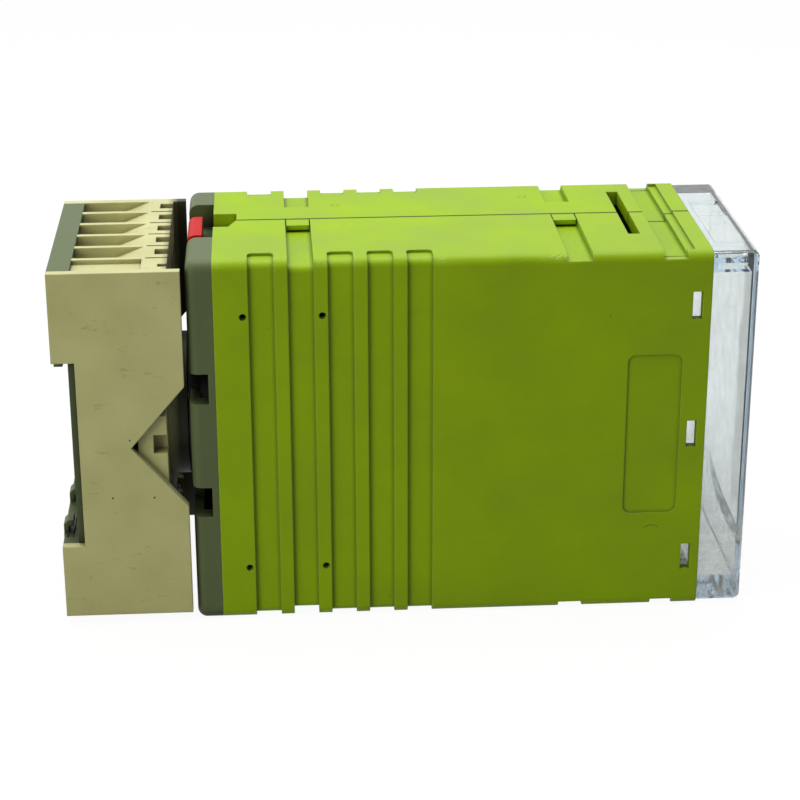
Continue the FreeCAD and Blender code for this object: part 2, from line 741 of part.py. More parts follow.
def make_clip_spring():
    """Zigzag strip spring between the post and the upper end of the clip's window."""
    body = new_body("clip_spring")
    rise = f"(window_top - post_top - 2*fit_gap)/{SPRING_BENDS}"
    near_side, far_side = [], []
    for bend in range(SPRING_BENDS + 1):
        side = 1 if bend % 2 else -1
        across = f"{side}*(spring_width/2 - spring_strip)"
        level = f"post_top + fit_gap + {bend}*{rise}"
        near_side.append((f"{across} - spring_strip", level))
        far_side.append((f"{across} + spring_strip", level))
    add(body, "YZ", "clip_mid - spring_strip", "clip_mid + spring_strip", near_side + far_side[::-1])
    return body


# Plug and pin base

def make_plug_disc():
    """Insulating disc with its rim inside the pin base, and the keyed spigot."""
    body = new_body("plug_disc")
    add(body, "YZ", "disc_back", "base_inside", disc("0", "axis_lift", "disc_size"))
    add(body, "YZ", "base_inside", "flange_front", disc("0", "axis_lift", "disc_size + 2*disc_flange"))
    add(body, "YZ", "disc_back - spigot_reach", "disc_back", disc("0", "axis_lift", "spigot_size"))
    add(body, "YZ", "disc_back - spigot_reach", "disc_back",
        rect("-key_width/2", "key_width/2", "axis_lift - spigot_size/2 - key_height", "axis_lift"))
    cut(body, "YZ", "disc_back - cut_past", "flange_front + cut_past", *pin_tails())
    return body


def pin_tails():
    """Square outlines of the pins' tails, which also are their holes in the plug disc."""
    half = "tail_width/2"
    return [rect(f"{across} - {half}", f"{across} + {half}", f"{up} - {half}", f"{up} + {half}")
            for across, up in pin_places()]


def make_plug_pins():
    """Ring of round pins with bevelled tips, on square tails."""
    body = new_body("plug_pins")
    add(body, "YZ", "disc_back - pin_reach", "disc_back",
        *[disc(across, up, "pin_size") for across, up in pin_places()])
    base = body.Tip
    tip = number("disc_back - pin_reach")
    rims = [f"Edge{index}" for index, edge in enumerate(base.Shape.Edges, start=1)
            if same(edge.BoundBox.XMin, tip) and same(edge.BoundBox.XMax, tip)]
    bevel = body.newObject("PartDesign::Chamfer", "bevel")
    bevel.Base = (base, rims)
    bevel.setExpression("Size", bind("pin_bevel"))
    refresh(bevel)
    add(body, "YZ", "disc_back", "disc_back + pin_tail", *pin_tails())
    return body


def make_base_cap():
    """Grey pin base: rear wall, collar inside the housing, finger notches and the lock's cut-out."""
    body = new_body("base_cap")
    add(body, "YZ", "base_back", "relay_back",
        rect("-relay_width/2", "relay_width/2", "relay_low", "relay_top"))
    back = number("base_back")
    soften(body, "Fillet", "edge_round", lambda start, end: along_x(start, end)
           or (same(start.x, back) and same(end.x, back)))
    add(body, "YZ", "relay_back", "neck_front",
        rect("-neck_half", "neck_half", "axis_lift - neck_tall", "axis_lift + neck_tall"))
    half, tall = "(neck_half - neck_wall)", "(neck_tall - neck_wall)"
    cut(body, "YZ", "base_inside", "neck_front + cut_past",
        rect(f"-{half}", half, f"axis_lift - {tall}", f"axis_lift + {tall}"))
    cut(body, "YZ", "base_back - cut_past", "base_inside + cut_past",
        disc("0", "axis_lift", "disc_size + 2*fit_gap"))
    for side in (-1, 1):
        notches = [rect("base_back - cut_past", "base_back + grip_depth",
                        f"axis_lift + {level}*grip_spread/2 - grip_height/2",
                        f"axis_lift + {level}*grip_spread/2 + grip_height/2") for level in (-1, 1)]
        cut(body, "XZ", *mirrored(side, "relay_width/2 - grip_reach", "relay_width/2 + cut_past"), *notches)
    left, right = "seam_offset - lock_bay/2", "seam_offset + lock_bay/2"
    add(body, "YZ", "base_inside", "neck_front",
        rect(f"{left} - lock_floor", f"{right} + lock_floor",
             "bay_floor - lock_floor", "axis_lift + neck_tall"))
    cut(body, "YZ", "base_back - cut_past", "relay_back",
        rect(left, right, "bay_floor", "relay_top + cut_past"))
    stem = "lock_stem/2 + slide_gap"
    cut(body, "YZ", "base_inside", "stem_back + stem_length + lock_travel + slide_gap",
        rect(f"seam_offset - ({stem})", f"seam_offset + {stem}", "bay_floor - lock_floor - cut_past",
             "bay_floor + cut_past"))
    return body


def make_lock_slide():
    """Red lock: head in the cut-out, stem through the floor and a foot under it."""
    body = new_body("lock_slide")
    head_low = "bay_floor + fit_gap"
    add(body, "XZ", "seam_offset - lock_width/2", "seam_offset + lock_width/2",
        rect("base_back", "base_back + lock_length", head_low, "relay_top - lock_drop"))
    back, top = number("base_back"), number("relay_top - lock_drop")
    soften(body, "Fillet", "lock_length/2", lambda start, end: same(start.x, back) and same(end.x, back)
           and same(start.z, top) and same(end.z, top))
    foot = "bay_floor - lock_floor - fit_gap"
    add(body, "XZ", "seam_offset - lock_stem/2", "seam_offset + lock_stem/2", [
        ("stem_back", f"{foot} - lock_foot"), ("stem_back + 2*stem_length", f"{foot} - lock_foot"),
        ("stem_back + 2*stem_length", foot), ("stem_back + stem_length", foot),
        ("stem_back + stem_length", head_low), ("stem_back", head_low)])
    return body


# Housing

def flute_span(flute):
    left = f"relay_back + flute_start + {flute}*flute_pitch"
    return left, f"{left} + flute_width"


def snap_spans():
    """The two snap grooves: one in line with a flute, one near the front."""
    left = "relay_back + snap_start"
    return flute_span(SNAP_FLUTE), (left, f"{left} + flute_width")


def make_shell(label, side):
    """One half of the housing: the near half (-1) or the far half (1)."""
    body = new_body(label)
    outer = f"{side}*relay_width/2"
    past = f"{side}*(relay_width/2 + cut_past)"
    meeting = "seam_offset" if side > 0 else "(seam_offset - seam_gap)"
    beyond_seam = f"seam_offset - ({side}*cut_past)"
    add(body, "YZ", "relay_back", "relay_front", rect(outer, meeting, "relay_low", "relay_top"))
    edge, seam = number(outer), number(meeting)
    soften(body, "Fillet", "edge_round", lambda start, end: along_x(start, end) and same(start.y, edge))
    soften(body, "Chamfer", "seam_bevel", lambda start, end: along_x(start, end) and same(start.y, seam))
    cut(body, "YZ", "relay_back - cut_past", "relay_front + cut_past",
        rect(f"{side}*inner_half", beyond_seam, "axis_lift - inner_tall", "axis_lift + inner_tall"))
    cut_flutes(body, side)
    for level in (-1, 1):
        cut_roof(body, side, level, past, beyond_seam)
    floor = number(f"{side}*(relay_width/2 - flute_depth)")
    soften(body, "Fillet", "flute_bend", lambda start, end: along_x(start, end) and same(start.y, floor))
    cut_slots(body, side, beyond_seam)
    cut_side(body, side)
    add_ledges(body, side)
    if side > 0:
        add_tongues(body)
        add_board_guides(body)
    return body


def cut_flutes(body, side):
    """Upright flutes of the side."""
    cut(body, "XZ", *mirrored(side, "relay_width/2 - flute_depth", "relay_width/2 + cut_past"),
        *[rect(left, right, "relay_low - cut_past", "relay_top + cut_past")
          for left, right in map(flute_span, FLUTES)])


def cut_roof(body, side, level, past, beyond_seam):
    """Snap grooves, the front band, and the flutes' ends, on the roof (1) or the floor (-1)."""
    above = "relay_height/2 + cut_past"
    start = "seam_offset + tongue_root" if side > 0 else "seam_offset"
    grooves = [rect(left, right, start, past) for left, right in snap_spans()]
    left = "relay_back + band_start"
    right = f"{left} + band_width"
    cut(body, "XY", *outward(level, "relay_height/2 - recess_depth", above),
        *grooves, rect(left, right, beyond_seam, past))
    groove = mirrored(side, "inner_half - band_groove/2", "inner_half + band_groove/2")
    cut(body, "XY", *outward(level, "relay_height/2 - recess_depth - step_depth", above),
        rect(left, right, *groove))
    shallow = outward(level, "relay_height/2 - step_depth", above)
    cut(body, "XY", *shallow,
        rect(f"{right} - cut_past", f"{right} + step_width", beyond_seam, f"{side}*inner_half"))
    low, high = mirrored(side, "relay_width/2 - flute_wrap", "relay_width/2 + cut_past")
    for flute in FLUTES:
        if flute != SNAP_FLUTE:
            cut(body, "XY", *shallow, block(*flute_span(flute), low, high, "wrap_round"))


def cut_slots(body, side, beyond_seam):
    """Latch slot in the roof and the floor, the lock's notch, and the lap of the halves in the band."""
    left = "relay_back + latch_start"
    cut(body, "XY", "relay_low - cut_past", "relay_top + cut_past",
        rect(left, f"{left} + latch_width", beyond_seam, f"seam_offset + {side}*latch_length/2"))
    back, front = "relay_back - cut_past", "relay_back + notch_length"
    edge = f"seam_offset + {side}*lock_notch/2"
    slant = "notch_slant" if side < 0 else "0"
    cut(body, "XY", *outward(1, "inner_tall - cut_past", "relay_height/2 + cut_past"), [
        (back, beyond_seam), (front, beyond_seam), (front, "seam_offset"), (f"{front} - {slant}", edge),
        (back, edge)])
    left = "relay_back + band_start"
    lap = "seam_offset - band_lap"
    if side < 0:
        cut(body, "XY", "relay_low - cut_past", "relay_top + cut_past",
            rect(left, f"{left} + band_width", f"{lap} - seam_gap", beyond_seam))
    else:
        for level in (-1, 1):
            add(body, "XY", *outward(level, "inner_tall", "relay_height/2 - recess_depth"),
                rect(f"{left} + seam_gap", f"{left} + band_width - seam_gap", lap, "seam_offset"))


def cut_side(body, side):
    """Slots and small holes through the side, and the bare inset on the near one."""
    left = "relay_back + vent_start"
    vents = [rect(left, f"{left} + vent_width", f"axis_lift + {level}*vent_pitch - vent_height/2",
                  f"axis_lift + {level}*vent_pitch + vent_height/2") for level in (-1, 0, 1)]
    probes = [disc(f"relay_back + probe_start + {place}*probe_pitch", f"axis_lift + {level}*probe_spread/2",
                   "probe_hole") for place in (0, 1) for level in (-1, 1)]
    cut(body, "XZ", *mirrored(side, "inner_half - cut_past", "relay_width/2 + cut_past"), *vents, *probes)
    if side < 0:
        left = "relay_back + panel_start"
        cut(body, "XZ", *mirrored(side, "relay_width/2 - panel_depth", "relay_width/2 + cut_past"),
            block(left, f"{left} + panel_length",
                  "axis_lift - panel_height/2", "axis_lift + panel_height/2", "panel_round"))


def add_ledges(body, side):
    """Inner ledges behind the front panel, on the roof and the floor."""
    inside = f"{side}*(inner_half - ledge_width)"
    add(body, "YZ", "face_back - ledge", "face_back", *[
        rect(inside, f"{side}*inner_half", *outward(level, "inner_tall - ledge", "inner_tall"))
        for level in (-1, 1)])


def add_tongues(body):
    """Snap tongues that lie in the near half's grooves."""
    for level in (-1, 1):
        sink = "relay_height/2 - tongue_sink"
        low, high = outward(level, f"{sink} - tongue_thickness", sink)
        add(body, "XY", low, high, *[
            rect(f"{left} + tongue_gap", f"{right} - tongue_gap", "seam_offset - tongue_reach",
                 "seam_offset + tongue_root") for left, right in snap_spans()])


def add_board_guides(body):
    """Paired ribs on the roof and the floor that hold the main board's edges."""
    near, far = "board_offset - board_gap", "board_offset + board + board_gap"
    ribs = []
    for level in (-1, 1):
        span = outward(level, "inner_tall - guide_height", "inner_tall")
        ribs += [rect(f"{near} - guide_wall", near, *span), rect(far, f"{far} + guide_wall", *span)]
    add(body, "YZ", "board_back + notch_length", "core_back + core_length", *ribs)


def make_clear_cover():
    """Clear cover: rounded box over the front with a skirt inside the housing."""
    body = new_body("clear_cover")
    half, tall = "(relay_width/2 - cover_inset)", "(relay_height/2 - cover_inset)"
    shoulder = "relay_front + fit_gap"
    add(body, "YZ", shoulder, "cover_front",
        rect(f"-{half}", half, f"axis_lift - {tall}", f"axis_lift + {tall}"))
    front = number("cover_front")
    soften(body, "Fillet", "cover_round", lambda start, end: along_x(start, end)
           or (same(start.x, front) and same(end.x, front)))
    add(body, "YZ", "skirt_back", shoulder,
        rect("-skirt_half", "skirt_half", "axis_lift - skirt_tall", "axis_lift + skirt_tall"))
    room, height = "(skirt_half - skirt_wall)", "(skirt_tall - skirt_wall)"
    inside = "cover_front - cover_face"
    cut(body, "YZ", "skirt_back - cut_past", inside,
        rect(f"-{room}", room, f"axis_lift - {height}", f"axis_lift + {height}"))
    cut(body, "YZ", f"{shoulder} + skirt_wall", inside,
        rect("-thin_width/2", "thin_width/2", "axis_lift", f"axis_lift + {height} + thin_depth"))
    top = "axis_lift + relay_height/2 - cover_inset"
    middle = "(relay_front + cover_front)/2"
    cut(body, "XY", f"{top} - nail_depth", f"{top} + cut_past",
        rect(f"{middle} - nail_length/2", f"{middle} + nail_length/2",
             "nail_offset - nail_width/2", "nail_offset + nail_width/2"))
    return body


# Setting front

def make_front_panel():
    """Dark panel behind the cover, with the wheels' window and the holes of selector and lamps."""
    body = new_body("front_panel")
    half, tall = "(inner_half - fit_gap)", "(inner_tall - fit_gap)"
    add(body, "YZ", "face_back", "face_front",
        rect(f"-{half}", half, f"axis_lift - {tall}", f"axis_lift + {tall}"))
    wide, high = "(frame_half - cheek)", "(rim_size/2 + window_gap)"
    cut(body, "YZ", "face_back - cut_past", "face_front + cut_past",
        rect(f"-{wide}", wide, f"wheel_z - {high}", f"wheel_z + {high}"),
        disc("-knob_offset", "knob_z", "shaft_size + 2*inner_gap"),
        *[disc("knob_offset", place, "lens_size + 2*fit_gap") for place in lens_places()])
    return body


def lens_places():
    return [f"knob_z + {side}*lens_pitch/2" for side in (-1, 1)]


def make_wheel_frame():
    """Frame on the control board: back plate and two cheeks that carry the axle."""
    body = new_body("wheel_frame")
    back = "control_front + frame_wall"
    add(body, "YZ", "control_front", back, rect("-frame_half", "frame_half", "wheel_z - rim_size/2",
                                                "wheel_z + rim_size/2"))
    for side in (-1, 1):
        add(body, "XZ", *mirrored(side, "frame_half - cheek", "frame_half"),
            rect(back, "face_back - fit_gap", "wheel_z - axle_size", "wheel_z + axle_size"))
    cut(body, "XZ", "-frame_half - cut_past", "frame_half + cut_past",
        disc("wheel_x", "wheel_z", "axle_size"))
    return body


def make_wheel_axle():
    body = new_body("wheel_axle")
    add(body, "XZ", "-frame_half", "frame_half", disc("wheel_x", "wheel_z", "axle_size"))
    return body


def make_digit_wheel(label, wheel):
    """Setting wheel: ten-sided number drum beside a notched finger rim."""
    body = new_body(label)
    middle = f"{wheel - 1.5}*wheel_pitch"
    low, high = f"{middle} - wheel_width/2", f"{middle} + wheel_width/2"
    corners = []
    for digit in range(DIGITS):
        angle = f"({digit + 0.5}*360/{DIGITS})"
        corners.append((f"wheel_x + wheel_size/2*cos{angle}", f"wheel_z + wheel_size/2*sin{angle}"))
    add(body, "XZ", low, f"{high} - rim_width", corners)
    add(body, "XZ", f"{high} - rim_width", high, disc("wheel_x", "wheel_z", "rim_size"))
    notches = []
    for digit in range(DIGITS):
        turn = (digit + 0.5) * 360 / DIGITS
        points = ((turn, "rim_size/2 - rim_notch"), (turn - NOTCH_SPREAD, "rim_size/2 + rim_notch"),
                  (turn + NOTCH_SPREAD, "rim_size/2 + rim_notch"))
        notches.append([(f"wheel_x + ({far})*cos({angle})", f"wheel_z + ({far})*sin({angle})")
                        for angle, far in points])
    cut(body, "XZ", f"{high} - rim_width", f"{high} + cut_past", *notches)
    cut(body, "XZ", f"{low} - cut_past", f"{high} + cut_past",
        disc("wheel_x", "wheel_z", "axle_size + 2*axle_gap"))
    return body


def make_selector_switch():
    """Rotary switch on the control board, with the bore of the selector's shaft."""
    body = new_body("selector_switch")
    half = "switch_size/2"
    add(body, "YZ", "control_front", "control_front + switch_depth",
        rect(f"-knob_offset - {half}", f"-knob_offset + {half}", f"knob_z - {half}", f"knob_z + {half}"))
    cut(body, "YZ", "control_front + switch_depth/2", "control_front + switch_depth + cut_past",
        disc("-knob_offset", "knob_z", "shaft_size + 2*shaft_gap"))
    return body


def make_range_selector():
    """Selector knob with a screwdriver slot, and its shaft."""
    body = new_body("range_selector")
    back = "face_front + inner_gap"
    add(body, "YZ", back, f"{back} + knob_height", disc("-knob_offset", "knob_z", "knob_size"))
    add(body, "YZ", "control_front + switch_depth/2 + inner_gap", back,
        disc("-knob_offset", "knob_z", "shaft_size"))
    cut(body, "YZ", f"{back} + knob_height/2", f"{back} + knob_height + cut_past",
        rect("-knob_offset - knob_slot/2", "-knob_offset + knob_slot/2", "knob_z", "knob_z + knob_size"))
    return body


def make_status_leds():
    """Two indicator lamps, each with a bevelled lens and two leads to the control board."""
    body = new_body("status_leds")
    lens_back = "face_back - lens_size"
    add(body, "YZ", lens_back, "face_front + lens_proud",
        *[disc("knob_offset", place, "lens_size") for place in lens_places()])
    base = body.Tip
    front = number("face_front + lens_proud")
    rims = [f"Edge{index}" for index, edge in enumerate(base.Shape.Edges, start=1)
            if same(edge.BoundBox.XMin, front)]
    bevel = body.newObject("PartDesign::Chamfer", "bevel")
    bevel.Base = (base, rims)
    bevel.setExpression("Size", bind("lens_bevel"))
    refresh(bevel)
    leads = []
    for place in lens_places():
        for side in (-1, 1):
            middle = f"knob_offset + {side}*lead_pitch/2"
            leads.append(rect(f"{middle} - lead_size/2", f"{middle} + lead_size/2",
                              f"{place} - lead_size/2", f"{place} + lead_size/2"))
    add(body, "YZ", "control_front", lens_back, *leads)
    return body


# Boards and what they carry

def make_main_board():
    body = new_body("main_board")
    add(body, "XZ", "board_offset", "board_offset + board",
        rect("board_back", "board_front", "axis_lift - board_tall", "axis_lift + board_tall"))
    return body


def make_control_board():
    body = new_body("control_board")
    half = "(inner_half - inner_gap)"
    add(body, "YZ", "control_back", "control_front",
        rect(f"-{half}", half, "axis_lift - board_tall", "axis_lift + board_tall"))
    return body


def make_transformer_core():
    """Laminated core: outer limbs and middle limb round two windows."""
    body = new_body("transformer_core")
    top, low = "axis_lift - core_leg", "axis_lift - core_leg - core_height"
    low_y, high_y = "core_y - core_stack/2", "core_y + core_stack/2"
    add(body, "XZ", low_y, high_y, rect("core_back", "core_back + core_length", low, top))
    middle = "core_back + core_length/2"
    cut(body, "XZ", f"{low_y} - cut_past", f"{high_y} + cut_past",
        rect("core_back + core_leg", f"{middle} - limb_half", f"{low} + core_leg", f"{top} - core_leg"),
        rect(f"{middle} + limb_half", "core_back + core_length - core_leg", f"{low} + core_leg",
             f"{top} - core_leg"))
    return body


def make_transformer_winding():
    """Coil round the middle limb."""
    body = new_body("transformer_winding")
    top = "axis_lift - 2*core_leg - coil_gap"
    low = "axis_lift - core_height + coil_gap"
    middle = "core_back + core_length/2"
    add(body, "XY", low, top, rect(f"{middle} - coil_half", f"{middle} + coil_half",
                                   "core_y - coil_reach", "core_y + coil_reach"))
    half = "(limb_half + coil_gap/2)"
    stack = "(core_stack/2 + coil_gap/2)"
    cut(body, "XY", f"{low} - cut_past", f"{top} + cut_past",
        rect(f"{middle} - {half}", f"{middle} + {half}", f"core_y - {stack}", f"core_y + {stack}"))
    return body


def make_output_relay():
    """Sealed relay that switches the output."""
    body = new_body("output_relay")
    left = "core_back + core_length + core_leg"
    top = "axis_lift - core_leg"
    add(body, "XZ", "board_offset - relay_depth", "board_offset",
        rect(left, f"{left} + relay_length", f"{top} - relay_tall", top))
    return body


def make_filter_capacitors():
    body = new_body("filter_capacitors")
    level = "axis_lift + can_size"
    add(body, "XZ", "board_offset - can_length", "board_offset",
        *[disc(f"core_back + can_size/2 + {place}*can_pitch", level, "can_size") for place in (0, 1)])
    return body


def make_logic_chips():
    body = new_body("logic_chips")
    left = "core_back + core_length + core_leg"
    chips = [rect(left, f"{left} + chip_length", f"axis_lift + core_leg + {place}*chip_pitch",
                  f"axis_lift + core_leg + {place}*chip_pitch + chip_width") for place in (0, 1, 2)]
    add(body, "XZ", "board_offset - chip_height", "board_offset", *chips)
    return body


def make_resistors():
    """Row of resistors that lie on the board above the capacitors."""
    body = new_body("resistors")
    low = "axis_lift + 3*can_size/2 + resistor_size"
    across = "board_offset - resistor_size/2 - board_gap/2"
    add(body, "XY", low, f"{low} + resistor_length",
        *[disc(f"core_back + {place}*resistor_pitch", across, "resistor_size") for place in RESISTORS])
    return body


def make_all():
    """Every sub-part of the timer relay, in the order it is put together."""
    parts = [make_socket_body(), make_rail_plate(), make_rail_clip(), make_clip_spring()]
    parts.append(make_pin_contacts())
    for row, (level, places) in zip(("upper", "lower"), terminal_rows()):
        parts.append(make_terminal_screws(f"{row}_terminal_screws", level, places))
        parts.append(make_wire_clamps(f"{row}_wire_clamps", level, places))
    parts += [make_plug_disc(), make_plug_pins(), make_base_cap(), make_lock_slide()]
    parts += [make_shell("near_shell", -1), make_shell("far_shell", 1), make_clear_cover()]
    parts += [make_front_panel(), make_wheel_frame(), make_wheel_axle()]
    parts += [make_digit_wheel(f"digit_wheel_{wheel + 1}", wheel) for wheel in WHEELS]
    parts += [make_selector_switch(), make_range_selector(), make_status_leds()]
    parts += [make_main_board(), make_control_board(), make_transformer_core(), make_transformer_winding()]
    parts += [make_output_relay(), make_filter_capacitors(), make_logic_chips(), make_resistors()]
    return parts


def check(parts):
    """Clean each finished shape, and stop if an object failed or a shape is unusable."""
    for part in parts:
        part.Tip.Refine = True
    doc.recompute()
    for item in doc.Objects:
        if "Invalid" in item.State or "Error" in item.State:
            raise ValueError(f"{item.Label} failed: {item.State}")
    for part in parts:
        if part.Shape.isNull() or not part.Shape.isValid() or not part.Shape.Solids:
            raise ValueError(f"{part.Label} has no sound shape")


sub_parts = make_all()
check(sub_parts)
os.makedirs("parts", exist_ok=True)
for sub_part in sub_parts:
    sub_part.Shape.exportStep(f"parts/{sub_part.Label}.step")
    box = sub_part.Shape.BoundBox
    print(f"{sub_part.Label}: {len(sub_part.Shape.Solids)} solids, "
          f"{box.XLength:.2f} x {box.YLength:.2f} x {box.ZLength:.2f} mm")
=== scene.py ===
# %% [markdown]
# # A timer relay on its rail socket
# The object is a plug-in timer: a green housing of two moulded halves with a clear cover on its front,
# plugged into a beige socket that clips onto a rail. Its solids come from the CAD model, so this lesson
# only adds what Blender is good at: the finish of each plastic and metal, a few thin surface details,
# and a picture from the photograph's point of view.

import math

import bpy
import numpy as np
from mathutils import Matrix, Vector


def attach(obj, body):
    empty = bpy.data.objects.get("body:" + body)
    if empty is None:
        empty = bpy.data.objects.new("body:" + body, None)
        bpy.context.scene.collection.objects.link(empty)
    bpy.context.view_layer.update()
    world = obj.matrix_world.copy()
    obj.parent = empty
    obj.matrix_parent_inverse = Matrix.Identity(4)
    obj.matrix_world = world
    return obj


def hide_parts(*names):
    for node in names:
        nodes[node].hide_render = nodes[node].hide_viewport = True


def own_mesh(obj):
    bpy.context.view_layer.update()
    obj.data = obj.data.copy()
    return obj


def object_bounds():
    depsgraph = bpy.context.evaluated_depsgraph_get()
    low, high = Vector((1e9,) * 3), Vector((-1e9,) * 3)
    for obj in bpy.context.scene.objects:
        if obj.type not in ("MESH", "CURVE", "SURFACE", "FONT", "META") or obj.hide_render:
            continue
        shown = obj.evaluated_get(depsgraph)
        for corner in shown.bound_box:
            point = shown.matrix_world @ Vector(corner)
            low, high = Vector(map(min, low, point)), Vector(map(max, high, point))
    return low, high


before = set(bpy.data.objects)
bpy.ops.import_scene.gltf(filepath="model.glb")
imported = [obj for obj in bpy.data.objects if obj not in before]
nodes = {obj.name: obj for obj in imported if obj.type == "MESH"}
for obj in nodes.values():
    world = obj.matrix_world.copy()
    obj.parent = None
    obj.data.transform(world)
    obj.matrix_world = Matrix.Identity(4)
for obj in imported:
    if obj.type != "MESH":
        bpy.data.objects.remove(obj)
cad_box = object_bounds()
MM = 0.001

# %% [markdown]
# ## Camera
# The photograph was taken from a little above and a long way off for so small a thing. The place, the
# turn and the lens below were worked out from the straight edges of the housing: edges that run the same
# way on the object meet in one point of the picture, and those points fix the camera.

# %% Camera
CAMERA_PLACE_MM = (36.0, -385.34, 155.06)
CAMERA_TURN_DEG = (68.175, 0.101, -3.713)
LENS_MM = 97.66
SENSOR_MM = 36.0

lens = bpy.data.cameras.new("camera")
lens.lens = LENS_MM
lens.sensor_width = SENSOR_MM
lens.clip_start = 0.01
camera = bpy.data.objects.new("camera", lens)
camera.location = [value * MM for value in CAMERA_PLACE_MM]
camera.rotation_euler = [math.radians(value) for value in CAMERA_TURN_DEG]
bpy.context.scene.collection.objects.link(camera)
bpy.context.scene.camera = camera
bpy.context.scene.view_settings.view_transform = "Standard"
print("camera", tuple(round(value, 4) for value in camera.location))

# %% [markdown]
# ## Colour and node helpers
# Colours are easy to pick as the hex values that a paint program shows, but shaders add up light, so
# each value is first turned to linear light. The second helper adds one shader node with its settings
# and its inputs, which may be plain values or links from other nodes, and hands back one of its outputs.
# Every finish below is built with it.

# %% Colour and node helpers
def linear(hex_colour):
    """sRGB hex to linear RGBA: c / 12.92 for dark values, ((c + 0.055) / 1.055) ** 2.4 for the others."""
    parts = np.array([int(hex_colour[place:place + 2], 16) for place in (1, 3, 5)]) / 255
    light = np.where(parts <= 0.04045, parts / 12.92, ((parts + 0.055) / 1.055) ** 2.4)
    return (*light.tolist(), 1.0)


def add_node(tree, kind, inputs=None, out=0, **settings):
    """Add a node, set its options, fill its inputs with values or links, and return one output."""
    node = tree.nodes.new(f"ShaderNode{kind}")
    for name, value in settings.items():
        setattr(node, name, value)
    for name, value in (inputs or {}).items():
        if isinstance(value, bpy.types.NodeSocket):
            tree.links.new(value, node.inputs[name])
        else:
            node.inputs[name].default_value = value
    return node.outputs[out]


def new_finish(name):
    """An empty material with its Principled shader, and the Object coordinates in metres."""
    material = bpy.data.materials.new(name)
    material.use_nodes = True
    tree = material.node_tree
    return material, tree, tree.nodes["Principled BSDF"], add_node(tree, "TexCoord", out="Object")


print("linear mid grey", [round(value, 3) for value in linear("#808080")])

# %% [markdown]
# ## Floor
# The picture has a white ground. The floor is pale and takes the object's shadow, and where the camera,
# a reflection or a clear piece looks at it, it is mixed with plain white. Other light sees it as a
# middle grey, which keeps the side that faces the camera as shaded as it is in the photograph.

# %% Floor
WHITE = (1, 1, 1, 1)
FLOOR_HALF = 1.5
FLOOR_DROP = 0.02 * MM
FLOOR_WHITE_SHARE = 0.92
FLOOR_GLOW = 1.03


def bent_rays(tree):
    """1 for a look that a shiny or clear surface has bent, and 0 for any other light."""
    mirrored = add_node(tree, "LightPath", out="Is Glossy Ray")
    passed = add_node(tree, "LightPath", out="Is Transmission Ray")
    return add_node(tree, "Math", {0: mirrored, 1: passed}, operation="MAXIMUM")


floor_level = cad_box[0][2] - FLOOR_DROP
corners = np.array([(-1, -1), (1, -1), (1, 1), (-1, 1)]) * FLOOR_HALF
floor_mesh = bpy.data.meshes.new("floor")
floor_mesh.from_pydata([(x, y, floor_level) for x, y in corners.tolist()], [], [(0, 1, 2, 3)])
floor = bpy.data.objects.new("floor", floor_mesh)
bpy.context.scene.collection.objects.link(floor)

# White paper: matt, with no edge or grain in sight.
paper = bpy.data.materials.new("white_paper_floor")
paper.use_nodes = True
tree = paper.node_tree
tree.nodes.remove(tree.nodes["Principled BSDF"])
direct = add_node(tree, "LightPath", out="Is Camera Ray")
looked_at = add_node(tree, "Math", {0: bent_rays(tree), 1: direct}, operation="MAXIMUM")
shaded = add_node(tree, "BsdfDiffuse", {"Color": linear("#8E8E8E")})
pale = add_node(tree, "BsdfDiffuse", {"Color": linear("#F0F0F0")})
white = add_node(tree, "Emission", {"Color": WHITE, "Strength": FLOOR_GLOW})
ground = add_node(tree, "MixShader", {0: FLOOR_WHITE_SHARE, 1: pale, 2: white})
shown = add_node(tree, "MixShader", {0: looked_at, 1: shaded, 2: ground})
tree.links.new(shown, tree.nodes["Material Output"].inputs["Surface"])
floor_mesh.materials.append(paper)
print("floor at", round(floor_level / MM, 2), "mm")

# %% [markdown]
# ## Room
# Behind the object stands a white backdrop, while the room on the camera's side is darker, which is what
# gives the clear cover its dark edges. A real backdrop would be one more thing to light, so the world
# itself gets lighter from front to back. The camera sees white wherever it looks past the object.

# %% Room
BACKDROP_LIGHT = 0.24
ROOM_SHARE = 0.65
ROOM_FADE = (-0.4, 0.3)

world = bpy.data.worlds.new("studio")
world.use_nodes = True
tree = world.node_tree
level = add_node(tree, "MapRange", {"Value": bent_rays(tree), "To Min": BACKDROP_LIGHT, "To Max": 1.0})
toward = add_node(tree, "SeparateXYZ", {0: add_node(tree, "TexCoord", out="Generated")}, out="Y")
room = add_node(tree, "MapRange", {"Value": toward, "From Min": ROOM_FADE[0], "From Max": ROOM_FADE[1],
                                   "To Min": ROOM_SHARE, "To Max": 1.0})
lit = add_node(tree, "Math", {0: level, 1: room}, operation="MULTIPLY")
direct = add_node(tree, "LightPath", out="Is Camera Ray")
strength = add_node(tree, "Math", {0: lit, 1: direct}, operation="MAXIMUM")
tree.nodes["Background"].inputs["Color"].default_value = WHITE
tree.links.new(strength, tree.nodes["Background"].inputs["Strength"])
bpy.context.scene.world = world
print("backdrop gives", BACKDROP_LIGHT, "of white as light")

# %% [markdown]
# ## Lamps
# One large soft lamp hangs above the object, so the roof is more than twice as bright as the side. A weak
# and slightly warm one stands to the left of the camera and opens up the shadows.

# %% Lamps
KEY_PLACE, KEY_SIZE, KEY_WATTS = (0.02, 0.10, 0.55), 0.62, 3.7
FILL_PLACE, FILL_SIZE, FILL_WATTS = (-0.40, -0.45, 0.22), 0.40, 1.45
FILL_COLOUR = "#FFFCD6"
LAMP_TARGET = np.array([0.06, 0.0, 0.0])

